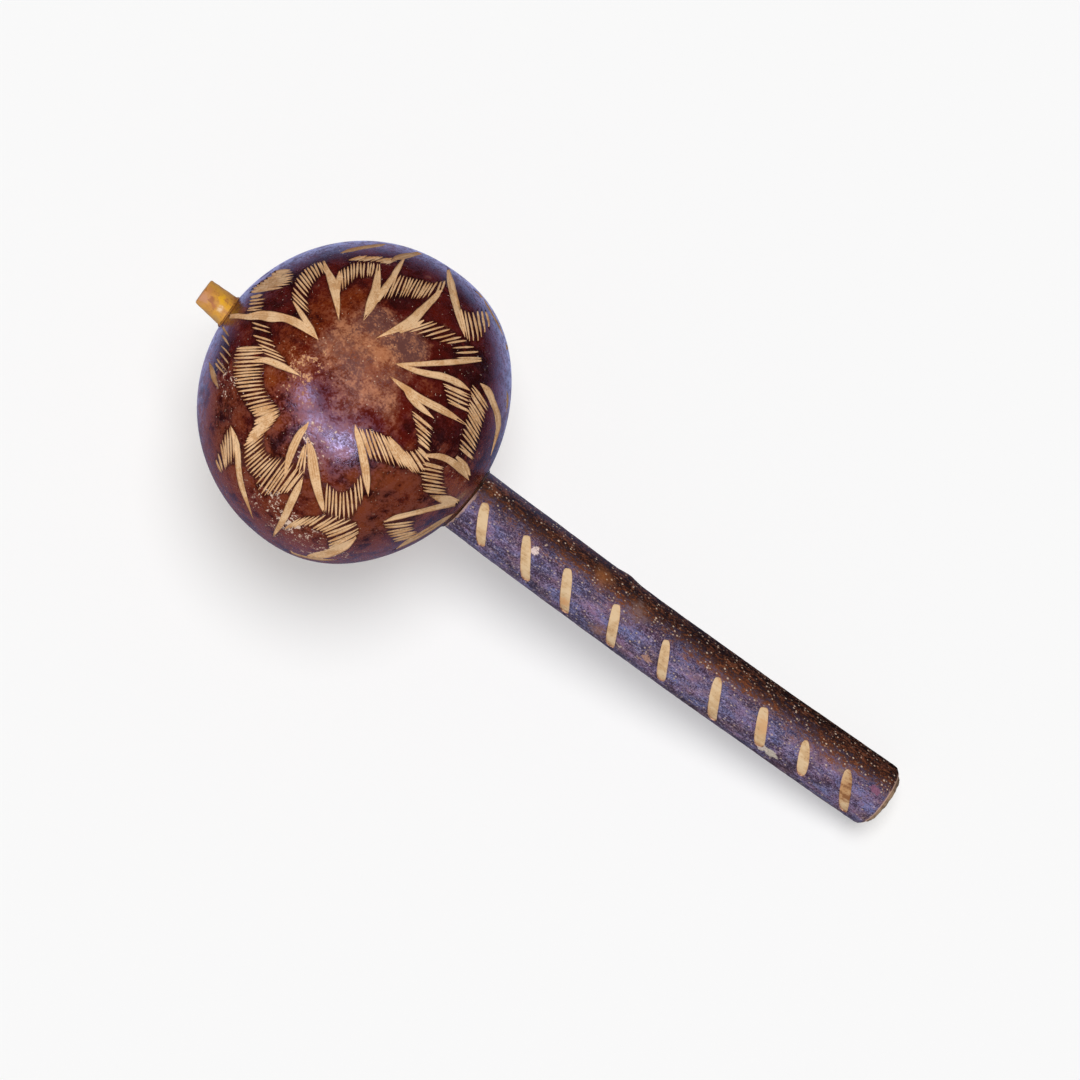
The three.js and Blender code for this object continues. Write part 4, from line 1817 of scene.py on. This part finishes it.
    def build(self, finishes: list[bpy.types.Material]) -> bpy.types.Object:
        """Makes the carved shell.

        Args:
            finishes: materials of the skin, the cuts and the inner wall.

        Returns:
            The shell, closed through its two holes.
        """
        gouges = self.gouges()
        outlines = [self.outline(gouge) for gouge in gouges]
        lines = [self.to_unit(gouge.line) for gouge in gouges]
        given = np.concatenate([*self.rims(), *outlines, *lines])
        chart = self.chart(np.concatenate([given, self._background(given)]))
        edges, loops = self._chart_edges(outlines, lines)
        loops = [anticlockwise(loop, chart) for loop in loops]
        coords, _, faces, origin_points, _, origin = delaunay_2d_cdt(
            [Vector(point) for point in chart.tolist()], edges, loops, 0, 2e-5)
        unit = self.unchart(np.array([tuple(c) for c in coords]))
        rims = {}
        for i, sources in enumerate(origin_points):
            for source in sources:
                if source < 2 * self.hole_sides:
                    rims[source] = i
        return self._assemble(unit, faces, origin, gouges, rims, finishes)

    def _chart_edges(
        self, outlines: list[np.ndarray], lines: list[np.ndarray]
    ) -> tuple[list[tuple[int, int]], list[list[int]]]:
        """Numbers the points of the two rims, the grooves' edges and their middle lines, in that order.

        Args:
            outlines: the grooves' edges.
            lines: the grooves' middle lines.

        Returns:
            The edges that the skin keeps, and each groove's edge as a loop.
        """
        sides = self.hole_sides
        edges = [(start + i, start + (i + 1) % sides) for start in (0, sides) for i in range(sides)]
        loops = []
        place = 2 * sides
        for outline in outlines:
            loops.append(list(range(place, place + len(outline))))
            place += len(outline)
        for line in lines:
            edges += [(place + i, place + i + 1) for i in range(len(line) - 1)]
            place += len(line)
        return edges, loops

    def _background(self, taken: np.ndarray) -> np.ndarray:
        """Even points over the unit ball, clear of points already taken and of the two holes.

        Args:
            taken: points already on the ball.

        Returns:
            The new points.
        """
        tree = point_tree(taken)
        golden = math.pi * (3 - math.sqrt(5))
        clear = self.skin_clear / self.belly
        kept = []
        for i in range(self.skin_points):
            along = 1 - 2 * (i + 0.5) / self.skin_points
            radius = math.sqrt(1 - along * along)
            point = (along, radius * math.cos(golden * i), radius * math.sin(golden * i))
            holed = self._in_hole(np.array([point]), self.rim_clear)[0]
            if tree.find(point)[2] > clear and not holed:
                kept.append(point)
        return np.array(kept)

    def _in_hole(self, unit: np.ndarray, margin: float) -> np.ndarray:
        """True where points of the unit ball lie in one of the holes, or within a margin of it.

        Args:
            unit: points of the unit ball.
            margin: in millimetres.

        Returns:
            One answer for each point.
        """
        inside = np.zeros(len(unit), bool)
        holes = ((-self.crown, self.handle.peg_root_radius), (self.base, self.handle.spindle_radius))
        for height, radius in holes:
            side = unit[:, 1] * self.belly - self.handle.offset(np.array([height]))
            gap = np.hypot(side, unit[:, 2] * self.belly)
            inside |= (unit[:, 0] * height > 0) & (gap < radius + self.handle.fit_gap + margin)
        return inside

    def _assemble(self, unit: np.ndarray, faces: list, origin: list, gouges: list[Gouge],
                  rims: dict[int, int], finishes: list[bpy.types.Material]) -> bpy.types.Object:
        """Sinks the grooves, adds the inner wall and makes the object.

        Args:
            unit: points of the outer skin on the unit ball.
            faces: triangles of the flat chart.
            origin: for each triangle, the grooves that it lies in.
            gouges: the grooves.
            rims: the points of the two hole rims, by their number round the rim.
            finishes: materials of the skin, the cuts and the inner wall.

        Returns:
            The shell.
        """
        middles = np.array([unit[list(face)].mean(0) for face in faces])
        middles /= np.linalg.norm(middles, axis=1, keepdims=True)
        holed = self._in_hole(middles, -0.02)
        kept = [k for k in range(len(faces)) if not holed[k]]
        skin = self.outside(unit)
        worked: dict[int, set[int]] = {}
        for k in kept:
            for number in origin[k]:
                worked.setdefault(number, set()).update(faces[k])
        marks = self._sink(skin, worked, gouges)
        points = skin - self.normals(unit) * marks["sunk"][:, None]
        outer = [tuple(reversed(faces[k])) for k in kept]
        kinds = [ShellFace.CUT if origin[k] else ShellFace.SKIN for k in kept]
        wall_points, wall_faces = self._inner_wall(rims, len(points))
        draft = MeshDraft(np.concatenate([points, wall_points]), outer + wall_faces,
                          kinds + [ShellFace.INSIDE] * len(wall_faces))
        made = draft.build("gourd_shell_carved", self.stick, finishes, 180.0)
        self._finish_normals(made, unit)
        for name in ("cut_depth", "cut_tone", "near_cut"):
            self._mark(made, name, marks[name])
        return made

    @staticmethod
    def _sink(
        skin: np.ndarray, worked: dict[int, set[int]], gouges: list[Gouge]
    ) -> dict[str, np.ndarray]:
        """Works out how the grooves cut each point of the skin.

        Args:
            skin: the skin's points.
            worked: the points in each groove, by the groove's number.
            gouges: the grooves.

        Returns:
            By name: how far each point is sunk, its share of its groove's depth, the groove's tone, and 1
            where it lies in a groove.
        """
        sunk, share, tone, near_cut = (np.zeros(len(skin)) for _ in range(4))
        for number, members in worked.items():
            gouge = gouges[number]
            index = np.array(sorted(members))
            part = gouge.sink(skin[index])
            depth = part * gouge.depth
            deeper = depth >= sunk[index]
            tone[index[deeper]] = gouge.tone
            sunk[index] = np.maximum(sunk[index], depth)
            share[index] = np.maximum(share[index], np.minimum(part * gouge.crisp, 1))
            near_cut[index] = 1.0
        return {"sunk": sunk, "cut_depth": share, "cut_tone": tone, "near_cut": near_cut}

    def _inner_wall(self, rims: dict[int, int], start: int) -> tuple[np.ndarray, list[Face]]:
        """The inner wall, from one hole's rim to the other's.

        Args:
            rims: the outer points of the two rims, by their number round them.
            start: the number of the first new point.

        Returns:
            The wall's points and its faces, those of the holes' sides among them.
        """
        sides = self.hole_sides
        polar = [np.arccos(-rim[:, 0]) for rim in self.rims()]
        turns = [np.unwrap(np.arctan2(rim[:, 1], rim[:, 2])) for rim in self.rims()]
        turns[1] += 2 * math.pi * np.round((turns[0] - turns[1]).mean() / (2 * math.pi))
        rings = []
        for share in np.linspace(0, 1, self.inner_rings):
            lean = polar[0] + share * (polar[1] - polar[0])
            turn = turns[0] + share * (turns[1] - turns[0])
            ball = np.stack([-np.cos(lean), np.sin(lean) * np.sin(turn), np.sin(lean) * np.cos(turn)], 1)
            rings.append(ball * self.stretch(ball, self.wall))
        grid = [[start + k * sides + i for i in range(sides)] for k in range(self.inner_rings)]
        grid = [[rims[i] for i in range(sides)], *grid, [rims[sides + i] for i in range(sides)]]
        faces: list[Face] = []
        for near, far in zip(grid, grid[1:]):
            for i in range(sides):
                j = (i + 1) % sides
                faces.append((near[j], near[i], far[i], far[j]))
        return np.concatenate(rings), faces

    def _finish_normals(self, made: bpy.types.Object, unit: np.ndarray) -> None:
        """Gives the skin its own smooth normals and keeps the cuts' edges crisp.

        Args:
            made: the shell.
            unit: its skin's points on the unit ball.
        """
        mesh = made.data
        smooth = (self.normals(unit) @ self.stick.axes).tolist()
        kinds_at: dict[tuple[int, int], set[int]] = {}
        normals = []
        for polygon in mesh.polygons:
            kind = polygon.material_index
            on_skin = kind == ShellFace.SKIN
            normals += [smooth[vertex] if on_skin else (0.0, 0.0, 0.0) for vertex in polygon.vertices]
            for edge in polygon.edge_keys:
                kinds_at.setdefault(edge, set()).add(kind)
        for edge in mesh.edges:
            edge.use_edge_sharp = len(kinds_at.get(edge.key, ())) > 1
        mesh.normals_split_custom_set(normals)

    @staticmethod
    def _mark(made: bpy.types.Object, name: str, values: np.ndarray) -> None:
        """Keeps a number for each point on the mesh.

        Args:
            made: the shell.
            name: the mark's name.
            values: one for each point of the skin.
        """
        marks = made.data.attributes.new(name, "FLOAT", "POINT")
        full = np.zeros(len(made.data.vertices), np.float32)
        full[: len(values)] = values
        marks.data.foreach_set("value", full)

    def spots(self, pixels: tuple[Pixel, ...]) -> tuple[Vector, ...]:
        """The places on the skin that show at pixels, in metres."""
        return tuple(Vector(place) for place in self.stick.out(self.touch(np.array(pixels))))

    def dress(self) -> None:
        """Makes the carved shell in its finishes and puts it in its node's place."""
        lacquer = LacquerFinish(
            gourd_place=self.stick.centre,
            # The lit side, towards which the lacquer is painted warmer: the picture's lower left.
            lit_way=-(0.4 * self.camera.right + self.camera.up).normalized(),
            crest_spot=self.spots((self.crest,))[0],
            bare_spots=self.spots(self.bare),
            mauve_spots=self.spots(self.mauve),
            amber_spots=self.spots(self.amber),
            peach_spots=self.spots(self.peach),
            worn_spots=self.spots(self.worn),
        )
        inside = PlainFinish("gourd_inside", tint(196, 160, 110), tint(150, 112, 72), 300.0, 0.8)
        shell = self.build([lacquer.material(), CutFinish().material(), inside.material()])
        settle(shell, "gourd_shell")


@dataclass
class Seeds:
    """Loose seeds, each a dented bean in its own column."""

    coat: PlainFinish = PlainFinish("seed_coat", tint(58, 40, 32), tint(32, 22, 20), 700.0, 0.4)
    sides: int = 20
    rings: int = 12
    fill: float = 0.98

    def dress(self) -> None:
        """Makes every seed and puts it in its node's place, on its own body."""
        finish = self.coat.material()
        for node in sorted(name for name in frame["nodes"] if name.startswith("seed_")):
            settle(self.build(node, finish), node, node)

    def build(self, node: str, finish: bpy.types.Material) -> bpy.types.Object:
        """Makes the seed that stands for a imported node.

        Args:
            node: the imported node's name.
            finish: the seed's material.

        Returns:
            The seed, where the node lies.
        """
        low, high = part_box(node)
        middle = np.array((low + high) / 2)
        reach = np.array(high - low) / 2 * self.fill
        seed = float(node[-2:])
        points = [[0, 0, -1.0]]
        for k in range(1, self.rings):
            lean = math.pi * k / self.rings
            radius = math.sin(lean)
            for i in range(self.sides):
                turn = 2 * math.pi * i / self.sides
                points.append([radius * math.cos(turn), radius * math.sin(turn), -math.cos(lean)])
        points.append([0, 0, 1.0])
        ball = np.array(points)
        shrink = 1 - 0.05 * (1 + lumps(ball, np.full(3, 1.6), seed))
        scar = np.exp(-((ball - np.array([1.0, 0, 0])) ** 2).sum(1) / 0.08)
        ball = ball * (shrink - 0.12 * scar)[:, None]
        return self._mesh(node, middle + ball * reach, finish)

    def _mesh(self, node: str, points: np.ndarray, finish: bpy.types.Material) -> bpy.types.Object:
        """Joins the seed's rings into a closed mesh.

        Args:
            node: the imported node's name.
            points: the seed's points.
            finish: the seed's material.

        Returns:
            The seed.
        """
        sides, last = self.sides, len(points) - 1
        faces: list[Face] = []
        for i in range(sides):
            j = (i + 1) % sides
            faces.append((0, 1 + j, 1 + i))
            faces.append((last, last - sides + i, last - sides + j))
            for k in range(self.rings - 2):
                low = 1 + k * sides
                faces.append((low + i, low + j, low + sides + j, low + sides + i))
        mesh = bpy.data.meshes.new(f"{node}_bean")
        mesh.from_pydata(points.tolist(), [], faces)
        mesh.materials.append(finish)
        mesh.shade_smooth()
        return linked(f"{node}_bean", mesh)


@dataclass(frozen=True)
class StudioLamp:
    """A soft lamp far away: its side by the picture's right and up, its lift, its light and its width.

    The lift over the table and the width are in degrees. A key lamp casts shadows, and a sheen lamp shows as
    the highlight.
    """

    name: str
    right: float
    up: float
    lift: float
    strength: float
    width: float
    kind: Lamp


@dataclass
class Studio:
    """A pale table under soft light: a broad key lamp overhead and three sheen lamps at the lower left.

    The camera and rays that pass through see white all round. Mirror rays don't: the lacquer in the picture
    mirrors a dim violet room, so they see such a room on the table near the object, and a faint sky.
    """

    camera: PictureCamera
    gourd_place: Vector
    table_size: float = 6.0
    table_colour: Colour = (0.94, 0.94, 0.94, 1.0)
    dark_room: Colour = (0.012, 0.01, 0.014, 1.0)
    violet_room: Colour = (0.62, 0.7, 1.2, 1.0)
    room_turn: float = 0.07
    room_least: float = 0.26
    sky: float = 0.1
    mirrored_sky: float = 0.02
    lamps: tuple[StudioLamp, ...] = (
        StudioLamp("key_lamp", 0.5, 0.87, 77, 1.47, 32, Lamp.KEY),
        StudioLamp("left_sheen_lamp", -1.0, 0.0, 56, 0.38, 15, Lamp.SHEEN),
        StudioLamp("middle_sheen_lamp", -0.6, -0.5, 57, 0.5, 15, Lamp.SHEEN),
        StudioLamp("low_sheen_lamp", -0.2, -1.0, 55, 0.85, 16, Lamp.SHEEN))

    def build(self) -> None:
        """Lays the table and hangs the lights."""
        self._table()
        self._sky()
        for lamp in self.lamps:
            self._hang(lamp)

    def _table(self) -> None:
        """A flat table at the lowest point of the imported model."""
        half = self.table_size / 2
        height = CAD_BOX[0].z
        mesh = bpy.data.meshes.new("table")
        square = ((-half, -half), (half, -half), (half, half), (-half, half))
        mesh.from_pydata([(x, y, height) for x, y in square], [], [(0, 1, 2, 3)])
        book = NodeBook.material("table_paper")
        far_way = (self.camera.up + self.room_turn * self.camera.right).normalized()
        foot = Vector((self.gourd_place.x, self.gourd_place.y, height))
        local = book.vector("SUBTRACT", book.place(), tuple(foot))
        far = book.band(book.vector("DOT_PRODUCT", local, tuple(far_way), "Value"), -0.025, 0.035)
        close = book.band(book.vector("LENGTH", local, (0.0, 0.0, 0.0), "Value"), 0.18, 0.07)
        lit = close * (self.room_least + (1 - self.room_least) * far)
        room = book.mix(lit, self.dark_room, self.violet_room)
        mirrored = book.node("ShaderNodeLightPath", output="Is Glossy Ray")
        colour = book.mix(mirrored, self.table_colour, room)
        mesh.materials.append(book.surface({
            "Base Color": colour, "Roughness": 0.9, "Specular IOR Level": 0.1}))
        linked("table", mesh)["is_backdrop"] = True

    def _sky(self) -> None:
        """Even light from all round, seen as white and mirrored faintly."""
        world = bpy.data.worlds.new("studio")
        book = NodeBook(world)
        seen = book.node("ShaderNodeLightPath", output="Is Camera Ray")
        through = book.node("ShaderNodeLightPath", output="Is Transmission Ray")
        mirrored = book.node("ShaderNodeLightPath", output="Is Glossy Ray")
        strength = self.sky + (1 - self.sky) * (seen + through)
        strength = strength + (self.mirrored_sky - self.sky) * mirrored
        white = (1.0, 1.0, 1.0, 1.0)
        background = book.node("ShaderNodeBackground", {}, {"Color": white, "Strength": strength})
        book.node("ShaderNodeOutputWorld", {}, {"Surface": background})
        bpy.context.scene.world = world

    def _hang(self, plan: StudioLamp) -> None:
        """Makes a lamp and turns it to the object.

        Args:
            plan: the lamp's place and light.
        """
        data = bpy.data.lights.new(plan.name, "SUN")
        data.energy = plan.strength
        data.angle = math.radians(plan.width)
        data.use_shadow = plan.kind is Lamp.KEY
        lamp = linked(plan.name, data)
        lamp.visible_glossy = plan.kind is Lamp.SHEEN
        level = plan.right * self.camera.right + plan.up * self.camera.up
        lift = math.radians(plan.lift)
        flat = Vector((level.x, level.y, 0)).normalized() * math.cos(lift)
        way = Vector((flat.x, flat.y, math.sin(lift)))
        lamp.rotation_euler = way.to_track_quat("Z", "Y").to_euler()
        lamp.location = way


def write_sizes() -> None:
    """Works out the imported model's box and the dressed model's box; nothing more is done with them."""
    boxes = {"cad": CAD_BOX, "visual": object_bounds()}
    boxes = {name: [list(corner) for corner in box] for name, box in boxes.items()}


def main() -> None:
    """Builds the studio and then the rattle, piece by piece."""
    logging.basicConfig(level=logging.INFO, format="%(message)s")
    bpy.context.scene.view_settings.view_transform = "Standard"
    stick = StickFrame()
    camera = PictureCamera()
    camera.build()
    Studio(camera, stick.centre).build()
    handle = Handle(stick, camera)
    Gourd(stick, camera, handle).dress()
    handle.dress()
    Seeds().dress()
    write_sizes()


if __name__ == "__main__":
    main()
